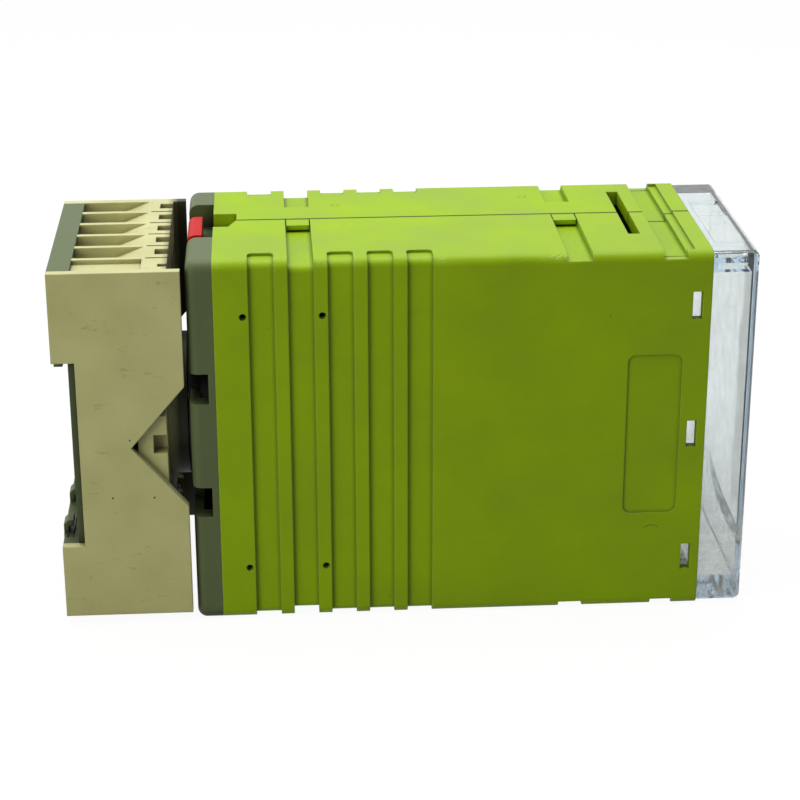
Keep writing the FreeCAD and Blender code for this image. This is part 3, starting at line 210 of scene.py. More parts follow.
for name, place, size, watts, colour in (("key", KEY_PLACE, KEY_SIZE, KEY_WATTS, "#FFFFFF"),
                                         ("fill", FILL_PLACE, FILL_SIZE, FILL_WATTS, FILL_COLOUR)):
    lamp = bpy.data.lights.new(name, "AREA")
    lamp.size = size
    lamp.energy = watts
    lamp.color = linear(colour)[:3]
    holder = bpy.data.objects.new(name, lamp)
    holder.location = place
    aim = LAMP_TARGET - np.array(place)
    holder.rotation_euler = (math.acos(-aim[2] / np.linalg.norm(aim)), 0, math.atan2(-aim[0], aim[1]))
    bpy.context.scene.collection.objects.link(holder)
print("key", KEY_WATTS, "W and fill", FILL_WATTS, "W")

# %% [markdown]
# ## Moulded plastic
# Most of the object is injection moulded ABS or a similar plastic. A mould that was spark eroded leaves a
# fine grain, which breaks up the gloss. The colour is never quite even, and years of handling leave paler
# rubbed edges, dark specks and faint smears. All of that follows from a few noise patterns on the Object
# coordinates, with sizes in millimetres. The Bevel node gives sharp CAD edges the small radius that a mould
# leaves, and where its normal departs from the true one there is an edge, which gets rubbed wear and a
# painted highlight. Ambient occlusion finds the corners that light hardly reaches and paints shade there.

# %% Moulded plastic
NOISE_LOW, NOISE_HIGH = 0.3, 0.7
ABS_IOR = 1.54
MOULD_RADIUS = 0.3 * MM
SMEAR_SIZE, CHIP_SIZE = 3.0 * MM, 0.8 * MM
SPECK_SPACING, LARGEST_SPECK = 3.6 * MM, 0.14
GRAIN_SIZE, GRAIN_DEPTH = 0.35 * MM, 0.012 * MM


def edge_mask(tree, bevel):
    """1 on an edge and 0 on a flat: how far the bevelled normal turns from the true one."""
    true = add_node(tree, "NewGeometry", out="Normal")
    agree = add_node(tree, "VectorMath", {0: bevel, 1: true}, out="Value", operation="DOT_PRODUCT")
    return add_node(tree, "MapRange", {"Value": agree, "From Min": 0.99, "From Max": 0.86})


def moulded_plastic(name, shade, light, rubbed_and_highlit, grime_and_shade, cloud_mm=16.0, gloss=(0.42, 0.58), rub_and_highlight=0.5,
                    speck=0.5, smear=0.0, corner_shade=0.7, corner_shade_mm=0.8, corner_shade_from=(0.95, 0.5), specular=0.3):
    """Grainy plastic: clouds between two shades, then smears, rubbed edges with a painted highlight, specks
    and painted shade in corners.
    """
    material, tree, shader, place = new_finish(name)
    clouds = add_node(tree, "TexNoise", {"Vector": place, "Scale": 1 / (cloud_mm * MM), "Detail": 4.0})
    cloudy = add_node(tree, "MapRange", {"Value": clouds, "From Min": NOISE_LOW, "From Max": NOISE_HIGH})
    colour = add_node(tree, "Mix", {0: cloudy, 6: linear(shade), 7: linear(light)}, out=2, data_type="RGBA")

    # Smears are the thin crests of a slow noise that is drawn out along the housing.
    drawn = add_node(tree, "Mapping", {"Vector": place, "Scale": (0.5, 1.0, 1.3)})
    smears = add_node(tree, "TexNoise", {"Vector": drawn, "Scale": 1 / SMEAR_SIZE, "Detail": 8.0,
                                         "Roughness": 0.75})
    smeared = add_node(tree, "MapRange", {"Value": smears, "From Min": 0.6, "From Max": 0.72,
                                          "To Max": smear})
    colour = add_node(tree, "Mix", {0: smeared, 6: colour, 7: linear(grime_and_shade)}, out=2, data_type="RGBA")

    # Rubbed edges: partly wear, partly a painted highlight that every small edge radius gets.
    bevel = add_node(tree, "Bevel", {"Radius": MOULD_RADIUS}, samples=3)
    chips = add_node(tree, "TexNoise", {"Vector": place, "Scale": 1 / CHIP_SIZE, "Detail": 5.0})
    chipped = add_node(tree, "MapRange", {"Value": chips, "From Min": 0.35, "From Max": 0.62,
                                          "To Min": rub_and_highlight / 3, "To Max": rub_and_highlight})
    worn_and_highlit = add_node(tree, "Math", {0: chipped, 1: edge_mask(tree, bevel)}, operation="MULTIPLY")
    colour = add_node(tree, "Mix", {0: worn_and_highlit, 6: colour, 7: linear(rubbed_and_highlit)}, out=2, data_type="RGBA")

    # One cell in four of a Voronoi pattern holds a speck, whose size follows the cell's own number.
    cells = {"Vector": place, "Scale": 1 / SPECK_SPACING}
    chance = add_node(tree, "SeparateColor", {0: add_node(tree, "TexVoronoi", cells, out="Color")})
    size = add_node(tree, "MapRange", {"Value": chance, "From Min": 0.75, "From Max": 1.0,
                                       "To Max": LARGEST_SPECK})
    ragged = add_node(tree, "Math", {0: chips, 1: size}, operation="MULTIPLY")
    inside = add_node(tree, "Math", {0: add_node(tree, "TexVoronoi", cells, out="Distance"), 1: ragged},
                      operation="LESS_THAN")
    dotted = add_node(tree, "Math", {0: inside, 1: speck}, operation="MULTIPLY")
    colour = add_node(tree, "Mix", {0: dotted, 6: colour, 7: linear(grime_and_shade)}, out=2, data_type="RGBA")

    # Painted shade: ambient occlusion darkens the colour in corners and recesses that light hardly reaches.
    corners = add_node(tree, "AmbientOcclusion", {"Distance": corner_shade_mm * MM}, out="AO", samples=3)
    corner_shade_share = add_node(tree, "MapRange", {"Value": corners, "From Min": corner_shade_from[0],
                                        "From Max": corner_shade_from[1], "To Max": corner_shade})
    colour = add_node(tree, "Mix", {0: corner_shade_share, 6: colour, 7: linear(grime_and_shade)}, out=2, data_type="RGBA")

    # The grain is drawn coarser than a real spark-eroded one, so that it shows at all.
    grain = add_node(tree, "TexNoise", {"Vector": place, "Scale": 1 / GRAIN_SIZE, "Detail": 2.0})
    bump = add_node(tree, "Bump", {"Height": grain, "Distance": GRAIN_DEPTH, "Normal": bevel})
    rough = add_node(tree, "MapRange", {"Value": clouds, "From Min": NOISE_LOW, "From Max": NOISE_HIGH,
                                        "To Min": gloss[0], "To Max": gloss[1]})
    for socket, source in (("Base Color", colour), ("Roughness", rough), ("Normal", bump)):
        tree.links.new(source, shader.inputs[socket])
    shader.inputs["IOR"].default_value = ABS_IOR
    shader.inputs["Specular IOR Level"].default_value = specular
    return material, tree, shader, place


print("moulded plastic has grain of", round(GRAIN_SIZE / MM, 2), "mm")

# %% [markdown]
# ## Beige socket
# The socket is the oldest-looking piece: its plastic has yellowed and carries grey smears and dark specks.
# The narrow gap between the socket's cheeks, in front of the face with the pin holes, lies in deep shade.
# That shade is painted. It could be a dark solid, but nobody would ever take hold of it, so the finish
# turns black from there on.

# %% Beige socket
CHEEK_FRONT, CORE_HALF = 17.1 * MM, 20.7 * MM
SHADE_FADE = 2.0 * MM
FACE_MARGIN = 0.1 * MM

# Aged beige ABS: warm and dull, with painted shade that turns it black in the gap and dark in its corners.
beige, tree, shader, place = moulded_plastic("moulded_aged_beige_abs", "#C6C58C", "#D6D59E", "#F0EFD0",
                                             "#1C1A0C", cloud_mm=12.0, speck=0.85, smear=0.45, corner_shade=0.85,
                                             corner_shade_mm=3.5, corner_shade_from=(0.7, 0.25))
ahead, across = [add_node(tree, "SeparateXYZ", {0: place}, out=axis) for axis in "XY"]
# Painted shade: black from the cheeks' front inwards, within the core's width.
deep = add_node(tree, "MapRange", {"Value": ahead, "From Min": CHEEK_FRONT,
                                   "From Max": CHEEK_FRONT + SHADE_FADE, "To Max": 0.95})
inside = add_node(tree, "Math", {0: across, 1: FACE_MARGIN - CORE_HALF}, operation="GREATER_THAN")
painted_dark = add_node(tree, "Math", {0: deep, 1: inside}, operation="MULTIPLY")
colour = shader.inputs["Base Color"].links[0].from_socket
colour = add_node(tree, "Mix", {0: painted_dark, 6: colour, 7: linear("#0E0D06")}, out=2, data_type="RGBA")
tree.links.new(colour, shader.inputs["Base Color"])
print("socket is dusty from", round(CHEEK_FRONT / MM, 2), "mm on")

# %% [markdown]
# ## Other plastics
# The rest of the plastics are the same recipe with other colours and other amounts of wear: less speckled
# where fingers wipe the piece, and with more painted shade where it has corners.

# %% Other plastics
# Grey ABS: a cool matt grey, with painted shade that makes it nearly black in the finger notches.
grey = moulded_plastic("moulded_grey_abs", "#56633E", "#606D4A", "#93A08C", "#0A0C08", speck=0.4, smear=0.1,
                       corner_shade=0.9, corner_shade_mm=3.0, specular=0.25)[0]
# Red ABS: deep red with a soft shine, so that the lock catches the eye.
red = moulded_plastic("moulded_red_abs", "#C01A18", "#CC2422", "#DC5048", "#3A0808", gloss=(0.32, 0.44),
                      speck=0.6, specular=0.05)[0]
# Pressed phenolic: black with a dry grain, hardly any shine.
black = moulded_plastic("pressed_black_phenolic", "#161717", "#1D1E1E", "#4A4C4C", "#0A0A0A", speck=0.2)[0]
# Panel ABS: charcoal and flat, so that the printed marks stand out.
panel = moulded_plastic("moulded_dark_panel_abs", "#2A2C2C", "#323434", "#6A6C6C", "#101010",
                        gloss=(0.5, 0.65))[0]
# Ivory ABS: smooth and bright, for the knob and for what is printed on the panel and the wheels.
ivory = moulded_plastic("moulded_ivory_abs", "#D8D6C8", "#E2E0D2", "#F0EEE4", "#7A7668",
                        gloss=(0.28, 0.4))[0]
print("five other plastics ready")

# %% [markdown]
# ## Green housing
# The housing is the same kind of plastic, with wear of its own. Its long rounded edges are scuffed paler
# here and there, and the floors of its snap grooves were left rough. Painting such wear on a UV map would
# tie it to one mesh, so it is placed with the object's own coordinates: the distance from a line or from a
# level says where it belongs, and it stays there from any side.

# %% Green housing
LIFT = 1.3 * MM
HOUSING_HALF, HOUSING_TALL, HOUSING_ROUND = 22.5 * MM, 35.0 * MM, 1.8 * MM
GROOVE_DEPTH, LEVEL_MARGIN = 1.35 * MM, 0.06 * MM
SCUFF_SIZE, SCUFF_STRETCH = 0.5 * MM, 14.0 * MM
SCUFF_REACH, SCUFF_CORE = 1.2 * MM, 0.3 * MM

# Green ABS: a loud yellow-green that stays clear of shine on the side and glares a little on the roof.
# Its edges get a strong painted highlight along with the rubbed wear, and its creases get painted shade.
green, tree, shader, place = moulded_plastic("moulded_green_abs", "#90B200", "#9EC200", "#C4DA70",
                                             "#1C2604", cloud_mm=14.0, rub_and_highlight=0.75, speck=0.35, smear=0.1,
                                             corner_shade=0.6, specular=0.22)
colour = shader.inputs["Base Color"].links[0].from_socket
along, across, up = [add_node(tree, "SeparateXYZ", {0: place}, out=axis) for axis in "XYZ"]
above = add_node(tree, "Math", {0: up, 1: LIFT}, operation="SUBTRACT")
width = add_node(tree, "Math", {0: across}, operation="ABSOLUTE")
height = add_node(tree, "Math", {0: above}, operation="ABSOLUTE")
fine = add_node(tree, "TexNoise", {"Vector": place, "Scale": 1 / SCUFF_SIZE, "Detail": 6.0})

# The rounded edge is a line in this cross-section, and scuffs fade with the distance from it.
section = add_node(tree, "CombineXYZ", {0: width, 1: height})
shortfall = HOUSING_ROUND * (1 - math.sqrt(0.5))
edge_line = (HOUSING_HALF - shortfall, HOUSING_TALL - shortfall, 0)
away = add_node(tree, "VectorMath", {0: section, 1: edge_line}, out="Value", operation="DISTANCE")
near_edge = add_node(tree, "MapRange", {"Value": away, "From Min": SCUFF_REACH, "From Max": SCUFF_CORE})
stretches = add_node(tree, "TexNoise", {"Vector": place, "Scale": 1 / SCUFF_STRETCH, "Detail": 2.0})
handled = add_node(tree, "MapRange", {"Value": stretches, "From Min": 0.45, "From Max": 0.62,
                                      "To Max": 0.55})
scuffed = add_node(tree, "MapRange", {"Value": fine, "From Min": 0.46, "From Max": 0.66})
share = add_node(tree, "Math", {0: near_edge, 1: scuffed}, operation="MULTIPLY")
share = add_node(tree, "Math", {0: share, 1: handled}, operation="MULTIPLY")
colour = add_node(tree, "Mix", {0: share, 6: colour, 7: linear("#D8E8A0")}, out=2, data_type="RGBA")

# Groove floors lie on one level, so the distance from that level picks them out.
off_floor = add_node(tree, "Math", {0: height, 1: HOUSING_TALL - GROOVE_DEPTH}, operation="SUBTRACT")
off_level = add_node(tree, "Math", {0: off_floor}, operation="ABSOLUTE")
on_floor = add_node(tree, "Math", {0: off_level, 1: LEVEL_MARGIN}, operation="LESS_THAN")
mottled = add_node(tree, "MapRange", {"Value": fine, "From Min": 0.5, "From Max": 0.7, "To Max": 0.3})
share = add_node(tree, "Math", {0: on_floor, 1: mottled}, operation="MULTIPLY")
colour = add_node(tree, "Mix", {0: share, 6: colour, 7: linear("#5E7614")}, out=2, data_type="RGBA")
print("groove floors at", round((HOUSING_TALL - GROOVE_DEPTH) / MM, 2), "mm from the plug axis")

# %% [markdown]
# ## Seam of the two halves
# The halves meet in a line just beyond the middle of the roof and the floor, and dirt has filled it. In the
# recessed band near the front the far half laps over the near one, so there the line lies nearer to the
# camera. The gap itself is in the solids, but it is only a tenth of a millimetre wide. What the eye sees is
# the dirt on its bevelled edges, so the finish is darkened where the distance from the seam is small.

# %% Seam of the two halves
SEAM_PLACE, SEAM_REACH = 2.35 * MM, 0.42 * MM
BAND_SPAN, BAND_LAP = (106.5 * MM, 110.7 * MM), 2.0 * MM

after = add_node(tree, "Math", {0: along, 1: BAND_SPAN[0]}, operation="GREATER_THAN")
before = add_node(tree, "Math", {0: along, 1: BAND_SPAN[1]}, operation="LESS_THAN")
in_band = add_node(tree, "Math", {0: after, 1: before}, operation="MULTIPLY")
seam = add_node(tree, "MapRange", {"Value": in_band, "To Min": SEAM_PLACE, "To Max": SEAM_PLACE - BAND_LAP})
past_seam = add_node(tree, "Math", {0: across, 1: seam}, operation="SUBTRACT")
off_seam = add_node(tree, "Math", {0: past_seam}, operation="ABSOLUTE")
filled = add_node(tree, "MapRange", {"Value": off_seam, "From Min": SEAM_REACH, "From Max": SEAM_REACH / 2,
                                     "To Max": 0.85})
colour = add_node(tree, "Mix", {0: filled, 6: colour, 7: linear("#1C2604")}, out=2, data_type="RGBA")
print("seam", round(SEAM_PLACE / MM, 2), "mm beyond the middle")

# %% [markdown]
# ## Ejector rings and a scratch
# Two ejector pins of the mould left faint rings on the roof, and a fingernail or a screwdriver left a short
# bent scratch on the side. All three are thin parts of a circle, so one formula draws them: the distance
# from the circle's middle, less its radius, is nearly zero on the line. Real geometry would be far too
# heavy for a line a tenth of a millimetre wide.

# %% Ejector rings and a scratch
EJECTOR_MARKS = ((49.1 * MM, 10.6 * MM), (85.1 * MM, 13.8 * MM))
EJECTOR_RADIUS = 0.75 * MM
SCRATCH_MIDDLE, SCRATCH_RADIUS = (106.1 * MM, -18.9 * MM), 2.0 * MM
SCRATCH_START = SCRATCH_MIDDLE[1] + SCRATCH_RADIUS * 0.75
LINE_EDGE, LINE_CORE = 0.16 * MM, 0.06 * MM

on_roof = add_node(tree, "Math", {0: above, 1: HOUSING_TALL - FACE_MARGIN}, operation="GREATER_THAN")
from_above = add_node(tree, "CombineXYZ", {0: along, 1: across})
from_side = add_node(tree, "CombineXYZ", {0: along, 1: up})
on_side = add_node(tree, "Math", {0: across, 1: FACE_MARGIN / 2 - HOUSING_HALF}, operation="LESS_THAN")
on_arc = add_node(tree, "Math", {0: up, 1: SCRATCH_START}, operation="GREATER_THAN")
scratched = add_node(tree, "Math", {0: on_side, 1: on_arc}, operation="MULTIPLY")
rings = [(from_above, mark, EJECTOR_RADIUS, on_roof) for mark in EJECTOR_MARKS]
rings.append((from_side, SCRATCH_MIDDLE, SCRATCH_RADIUS, scratched))
for flat, middle, radius, where in rings:
    far = add_node(tree, "VectorMath", {0: flat, 1: (*middle, 0)}, out="Value", operation="DISTANCE")
    off_ring = add_node(tree, "Math", {0: far, 1: radius}, operation="SUBTRACT")
    off_line = add_node(tree, "Math", {0: off_ring}, operation="ABSOLUTE")
    line = add_node(tree, "MapRange", {"Value": off_line, "From Min": LINE_EDGE, "From Max": LINE_CORE})
    broken = add_node(tree, "Math", {0: line, 1: fine}, operation="MULTIPLY")
    share = add_node(tree, "Math", {0: broken, 1: where}, operation="MULTIPLY")
    colour = add_node(tree, "Mix", {0: share, 6: colour, 7: linear("#2A360A")}, out=2, data_type="RGBA")
tree.links.new(colour, shader.inputs["Base Color"])
print("green housing plastic has", len(tree.nodes), "nodes")

# %% [markdown]
# ## Clear cover
# The cover is clear polycarbonate. Light passes it, bends a lot at its rounded edges and picks up a faint
# blue where it travels along a wall, which absorption inside the volume gives. Its surface is a little
# wavy from moulding, and handling has left a thin mottled haze, where some light is scattered back. Dust
# has settled in its lower part.

# %% Clear cover
POLYCARBONATE_IOR = 1.58
TINT_PER_METRE = 18.0
HAZE_SIZE, HAZE_LOW, HAZE_HIGH = 3.0 * MM, 0.35, 0.7
CLEAN_PASSES, HAZE_PASSES = 0.99, 0.90
DUST_TOP, DUST_BOTTOM, DUST_SHARE = -8.0 * MM, -26.0 * MM, 0.38
WAVE_LENGTH, WAVE_DEPTH = 9.0 * MM, 0.05 * MM

# Clear polycarbonate: glass-like on the flats, bluish grey at the edges, with a breath of haze.
clear, tree, shader, place = new_finish("moulded_clear_polycarbonate")
haze = add_node(tree, "TexNoise", {"Vector": place, "Scale": 1 / HAZE_SIZE, "Detail": 8.0,
                                   "Roughness": 0.65})
clean = add_node(tree, "MapRange", {"Value": haze, "From Min": HAZE_LOW, "From Max": HAZE_HIGH,
                                    "To Min": CLEAN_PASSES, "To Max": HAZE_PASSES})
up = add_node(tree, "SeparateXYZ", {0: place}, out="Z")
settled = add_node(tree, "MapRange", {"Value": up, "From Min": DUST_TOP, "From Max": DUST_BOTTOM,
                                      "To Max": DUST_SHARE})
dust = add_node(tree, "Math", {0: settled, 1: haze}, operation="MULTIPLY")
passing = add_node(tree, "Math", {0: clean, 1: dust}, operation="SUBTRACT")
frosting = add_node(tree, "MapRange", {"Value": haze, "From Min": HAZE_LOW, "From Max": HAZE_HIGH,
                                       "To Min": 0.01, "To Max": 0.09})
waves = add_node(tree, "TexNoise", {"Vector": place, "Scale": 1 / WAVE_LENGTH, "Detail": 1.0})
bump = add_node(tree, "Bump", {"Height": waves, "Distance": WAVE_DEPTH})
for socket, source in (("Transmission Weight", passing), ("Roughness", frosting), ("Normal", bump)):
    tree.links.new(source, shader.inputs[socket])
shader.inputs["Base Color"].default_value = linear("#F8FBF9")
shader.inputs["IOR"].default_value = POLYCARBONATE_IOR
tint = add_node(tree, "VolumeAbsorption", {"Color": linear("#78C4EC"), "Density": TINT_PER_METRE})
tree.links.new(tint, tree.nodes["Material Output"].inputs["Volume"])
print("clear cover lets through", HAZE_PASSES, "to", CLEAN_PASSES, "where it is free of dust")

# %% [markdown]
# ## Metals
# Screws and clamps are plated steel that has started to rust, so two looks are mixed by a noise: bright
# plating and dull brown oxide. Contacts and pins are brass that has gone dark with age. A picture of rust
# would fit one screw only, while a noise with its size in millimetres fits all of them.

# %% Metals
OXIDE_FADE = 0.08
OXIDE_DEPTH = 0.03 * MM


def tarnished_metal(name, bright, dull, patch_mm, dull_share, bright_rough, dull_rough):
    """Bare metal with patches of oxide: colour, metallic and roughness all follow one noise."""
    material, tree, shader, place = new_finish(name)
    patches = add_node(tree, "TexNoise", {"Vector": place, "Scale": 1 / (patch_mm * MM), "Detail": 6.0})
    middle = NOISE_HIGH - (NOISE_HIGH - NOISE_LOW) * dull_share
    oxide = add_node(tree, "MapRange", {"Value": patches, "From Min": middle - OXIDE_FADE,
                                        "From Max": middle + OXIDE_FADE})
    colour = add_node(tree, "Mix", {0: oxide, 6: linear(bright), 7: linear(dull)}, out=2, data_type="RGBA")
    metallic = add_node(tree, "MapRange", {"Value": oxide, "To Min": 1.0, "To Max": 0.25})
    rough = add_node(tree, "MapRange", {"Value": oxide, "To Min": bright_rough, "To Max": dull_rough})
    bump = add_node(tree, "Bump", {"Height": patches, "Distance": OXIDE_DEPTH})
    links = {"Base Color": colour, "Metallic": metallic, "Roughness": rough, "Normal": bump}
    for socket, source in links.items():
        tree.links.new(source, shader.inputs[socket])
    return material


# Plated steel that rusts: bright spots between dull brown ones.
rusty_steel = tarnished_metal("turned_rusty_plated_steel", "#A8A296", "#5A3D2A", 1.2, 0.6, 0.35, 0.8)
# Spring wire: cold grey with a satin shine.
spring_steel = tarnished_metal("drawn_spring_steel", "#A9ABAE", "#5E5A55", 2.0, 0.3, 0.28, 0.6)
# Old brass: brown rather than yellow, only glinting at its edges.
brass = tarnished_metal("stamped_dark_brass", "#8A7444", "#41351F", 2.5, 0.6, 0.38, 0.7)
# Stacked core plates under varnish: nearly black, with rusty patches.
core_steel = tarnished_metal("stacked_varnished_core_steel", "#4A4C50", "#2E2A28", 3.0, 0.5, 0.4, 0.6)
print("metals ready")

# %% [markdown]
# ## Parts inside
# The boards and what they carry are seen only through the slots, but they get their own finishes too.
# A board's lacquer shows its tracks as faint lines, which a stretched brick pattern stands for.

# %% Parts inside
TRACK_SPACING = 8.0 * MM

# Lacquered board: glossy dark green, with paler lines where tracks run under the lacquer.
board, tree, shader, place = new_finish("lacquered_circuit_board")
tracks = add_node(tree, "TexBrick", {"Vector": place, "Scale": 1 / TRACK_SPACING, "Mortar Size": 0.03,
                                     "Color1": linear("#1F5B35"), "Color2": linear("#24663C"),
                                     "Mortar": linear("#3A7F50")}, out="Color")
tree.links.new(tracks, shader.inputs["Base Color"])
shader.inputs["Roughness"].default_value = 0.3
# Wound tape: warm yellow with a waxy shine.
tape = moulded_plastic("wound_yellow_tape", "#C9A838", "#D6B645", "#E0CC80", "#6A5618", gloss=(0.4, 0.6))[0]
# Relay case: glossy mid blue.
blue_case = moulded_plastic("moulded_blue_case", "#24508F", "#2C5A9C", "#6F90BE", "#101E38",
                            gloss=(0.25, 0.4))[0]
# Shrunk sleeve: dark blue, drawn tight and shiny.
sleeve = moulded_plastic("shrunk_dark_blue_sleeve", "#242A48", "#2B3254", "#6A7090", "#0C0E1A",
                         gloss=(0.2, 0.35))[0]
# Dipped coat: tan, like thick paint.
coating = moulded_plastic("dipped_tan_coat", "#BD9C70", "#C9A97C", "#DCC6A4", "#5A4426",
                          gloss=(0.35, 0.5))[0]
# Cast lens: dark red and glassy while the lamp is off.
lens_red = moulded_plastic("cast_red_lens", "#A81414", "#B81C1A", "#D85A50", "#3A0606", gloss=(0.12, 0.2),
                           speck=0.0)[0]
print("inner finishes ready")

# %% [markdown]
# ## Dress the solids
# Each solid takes one of these finishes. A solid's shape and place are already right, so only its material
# slot changes, and one list by name keeps the whole choice in view.

# %% Dress the solids
FINISHES = {
    "socket_body": beige, "rail_plate": grey, "rail_clip": grey, "clip_spring": spring_steel,
    "pin_contacts": brass, "upper_terminal_screws": rusty_steel, "lower_terminal_screws": rusty_steel,
    "upper_wire_clamps": rusty_steel, "lower_wire_clamps": rusty_steel, "plug_disc": black,
    "plug_pins": brass, "base_cap": grey, "lock_slide": red, "near_shell": green, "far_shell": green,
    "clear_cover": clear, "front_panel": panel, "wheel_frame": black, "wheel_axle": spring_steel,
    "selector_switch": black, "range_selector": ivory, "status_leds": lens_red, "main_board": board,
    "control_board": board, "transformer_core": core_steel, "transformer_winding": tape,
    "output_relay": blue_case, "filter_capacitors": sleeve, "logic_chips": black, "resistors": coating,
    "digit_wheel_1": black, "digit_wheel_2": black, "digit_wheel_3": black, "digit_wheel_4": black,
}
for name, finish in FINISHES.items():
    mesh = nodes[name].data
    mesh.materials.clear()
    mesh.materials.append(finish)
print("dressed", len(FINISHES), "of", len(nodes))

# %% [markdown]
# ## A piece from arrays
# The pieces below are all made the same way: numpy works out their points and faces, and one helper puts
# them into a mesh, gives it a finish and lets it ride on the body that carries it.

# %% A piece from arrays
def new_piece(name, points, faces, finish, slot, body):
    """A mesh object at the origin from an array of points and a list of faces."""
    mesh = bpy.data.meshes.new(name)
    mesh.from_pydata(points.tolist(), [], faces)
    mesh.materials.append(finish)
    piece = bpy.data.objects.new(name, mesh)
    bpy.context.scene.collection.objects.link(piece)
    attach(piece, body)
    return piece


def grid_faces(rows, columns):
    """Four-cornered faces between the points of a grid, row by row."""
    first = (np.arange(rows - 1)[:, None] * columns + np.arange(columns - 1)).ravel()
    return np.stack([first, first + 1, first + columns + 1, first + columns], axis=1)


print("a 3 by 4 grid has", len(grid_faces(3, 4)), "faces")

# %% [markdown]
# ## Numbers on the setting wheels
# Each setting wheel is a ten-sided drum with a number printed on every side. A painted texture would blur
# at this size, so the text tool draws each digit, which is made a mesh, and its points are then laid on
# the drum's sides: across the digit runs along the axle, and its height runs round the drum.

# %% Numbers on the setting wheels
WHEELS = 4
WHEEL_AXLE = np.array((102.9, 0.0, 13.3)) * MM
WHEEL_PITCH = 7.6 * MM
DRUM_RADIUS = 7.0 * MM
DRUM_SHIFT = -1.0 * MM
DIGIT_HEIGHT = 3.0 * MM
PRINT_LIFT = 0.02 * MM
DIGITS = 10


def digit_shape(digit):
    """A digit's points in its own plane, centred and scaled to the printed height, and its triangles."""
    text = bpy.data.curves.new("digit", "FONT")
    text.body = str(digit)
    holder = bpy.data.objects.new("digit", text)
    mesh = bpy.data.meshes.new_from_object(holder)
    points = np.empty(len(mesh.vertices) * 3)
    mesh.vertices.foreach_get("co", points)
    mesh.calc_loop_triangles()
    faces = np.empty(len(mesh.loop_triangles) * 3, dtype=np.int32)
    mesh.loop_triangles.foreach_get("vertices", faces)
    bpy.data.objects.remove(holder)
    bpy.data.meshes.remove(mesh)
    points = points.reshape(-1, 3)[:, :2]
    low, high = points.min(axis=0), points.max(axis=0)
    return (points - (low + high) / 2) * DIGIT_HEIGHT / (high[1] - low[1]), faces.reshape(-1, 3)


def drum_numbers(middle):
    """All ten digits of a drum: out from the axle by the drum's flat, turned by a tenth of a turn each."""
    points, faces, count = [], [], 0
    flat = DRUM_RADIUS * math.cos(math.pi / DIGITS) + PRINT_LIFT
    for digit in range(DIGITS):
        shape, shape_faces = digit_shape(digit)
        turn = digit * 2 * math.pi / DIGITS
        out = np.array((math.cos(turn), 0, math.sin(turn)))
        rise = np.array((-math.sin(turn), 0, math.cos(turn)))
        side = np.array((0, 1, 0))
        points.append(WHEEL_AXLE + middle * side + flat * out + shape[:, :1] * side + shape[:, 1:] * rise)
        faces.append(shape_faces + count)
        count += len(shape)
    return np.concatenate(points), np.concatenate(faces).tolist()


for wheel in range(WHEELS):
    points, faces = drum_numbers((wheel - (WHEELS - 1) / 2) * WHEEL_PITCH + DRUM_SHIFT)
    new_piece(f"wheel_numbers_{wheel + 1}", points, faces, ivory, "knob_plastic", f"wheel_{wheel + 1}")
print("numbers have", len(points), "points on each wheel")

# %% [markdown]
# ## Marks round the selector
# The range selector points at one of five printed marks. Each mark is a small grid in polar coordinates,
# so all of them come from one formula: a radius, an angle, and a little across.

# %% Marks round the selector
SELECTOR_MIDDLE = np.array((-8.0, -13.7)) * MM
PANEL_FRONT = 108.7 * MM
MARK_RADII = np.array((6.4, 8.4)) * MM
MARK_HALF_WIDTH = 0.25 * MM
MARK_ANGLES = np.radians((-60, -30, 0, 30, 60))


def selector_marks():
    """Point = middle + radius along the angle + across at right angles to it, all on the panel's face."""
    edges = (-MARK_HALF_WIDTH, MARK_HALF_WIDTH)
    angle, radius, across = np.meshgrid(MARK_ANGLES, MARK_RADII, edges, indexing="ij")
    y = SELECTOR_MIDDLE[0] + radius * np.sin(angle) + across * np.cos(angle)
    z = SELECTOR_MIDDLE[1] + radius * np.cos(angle) - across * np.sin(angle)
    x = np.full_like(y, PANEL_FRONT + PRINT_LIFT)
    points = np.stack([x, y, z], axis=-1).reshape(-1, 3)
    corners = np.arange(len(points)).reshape(len(MARK_ANGLES), 4)[:, [0, 1, 3, 2]]
    return points, corners.tolist()


new_piece("selector_marks", *selector_marks(), ivory, "knob_plastic", "relay")
print("selector has", len(MARK_ANGLES), "marks")

# %% [markdown]
# ## Air in the crack
# The cover's near wall has a curved crack. In clear plastic a crack is a thin sheet of air, which mirrors
# light and so looks silvery. Glass with a second skin inside would need many bounces of light, so the air
# gets a finish of its own: a streaky mirror that lets a little of the wall behind it show.

# %% Air in the crack
STREAK_SIZE, STREAK_LOW, STREAK_HIGH = 1.6 * MM, 0.35, 0.65

# Air in a crack: silvery streaks that the wall behind shows through.
silvery, tree, shader, place = new_finish("cracked_clear_polycarbonate")
streaks = add_node(tree, "TexNoise", {"Vector": place, "Scale": 1 / STREAK_SIZE, "Detail": 6.0})
tone = add_node(tree, "MapRange", {"Value": streaks, "From Min": STREAK_LOW, "From Max": STREAK_HIGH})
colour = add_node(tree, "Mix", {0: tone, 6: linear("#5C686E"), 7: linear("#DCE3E6")}, out=2,
                  data_type="RGBA")
cover_share = add_node(tree, "MapRange", {"Value": streaks, "From Min": STREAK_LOW, "From Max": STREAK_HIGH,
                                          "To Min": 0.7, "To Max": 0.95})
tree.links.new(colour, shader.inputs["Base Color"])
tree.links.new(cover_share, shader.inputs["Alpha"])
shader.inputs["Roughness"].default_value = 0.25
shader.inputs["Metallic"].default_value = 0.8
print("streaks of", round(STREAK_SIZE / MM, 2), "mm in the crack")

# %% [markdown]
# ## Crack in the cover
# The crack is modelled as what it is: a ruled sheet that starts on a bent line on the wall's outer face and
# runs through the wall to another line on its inner face.

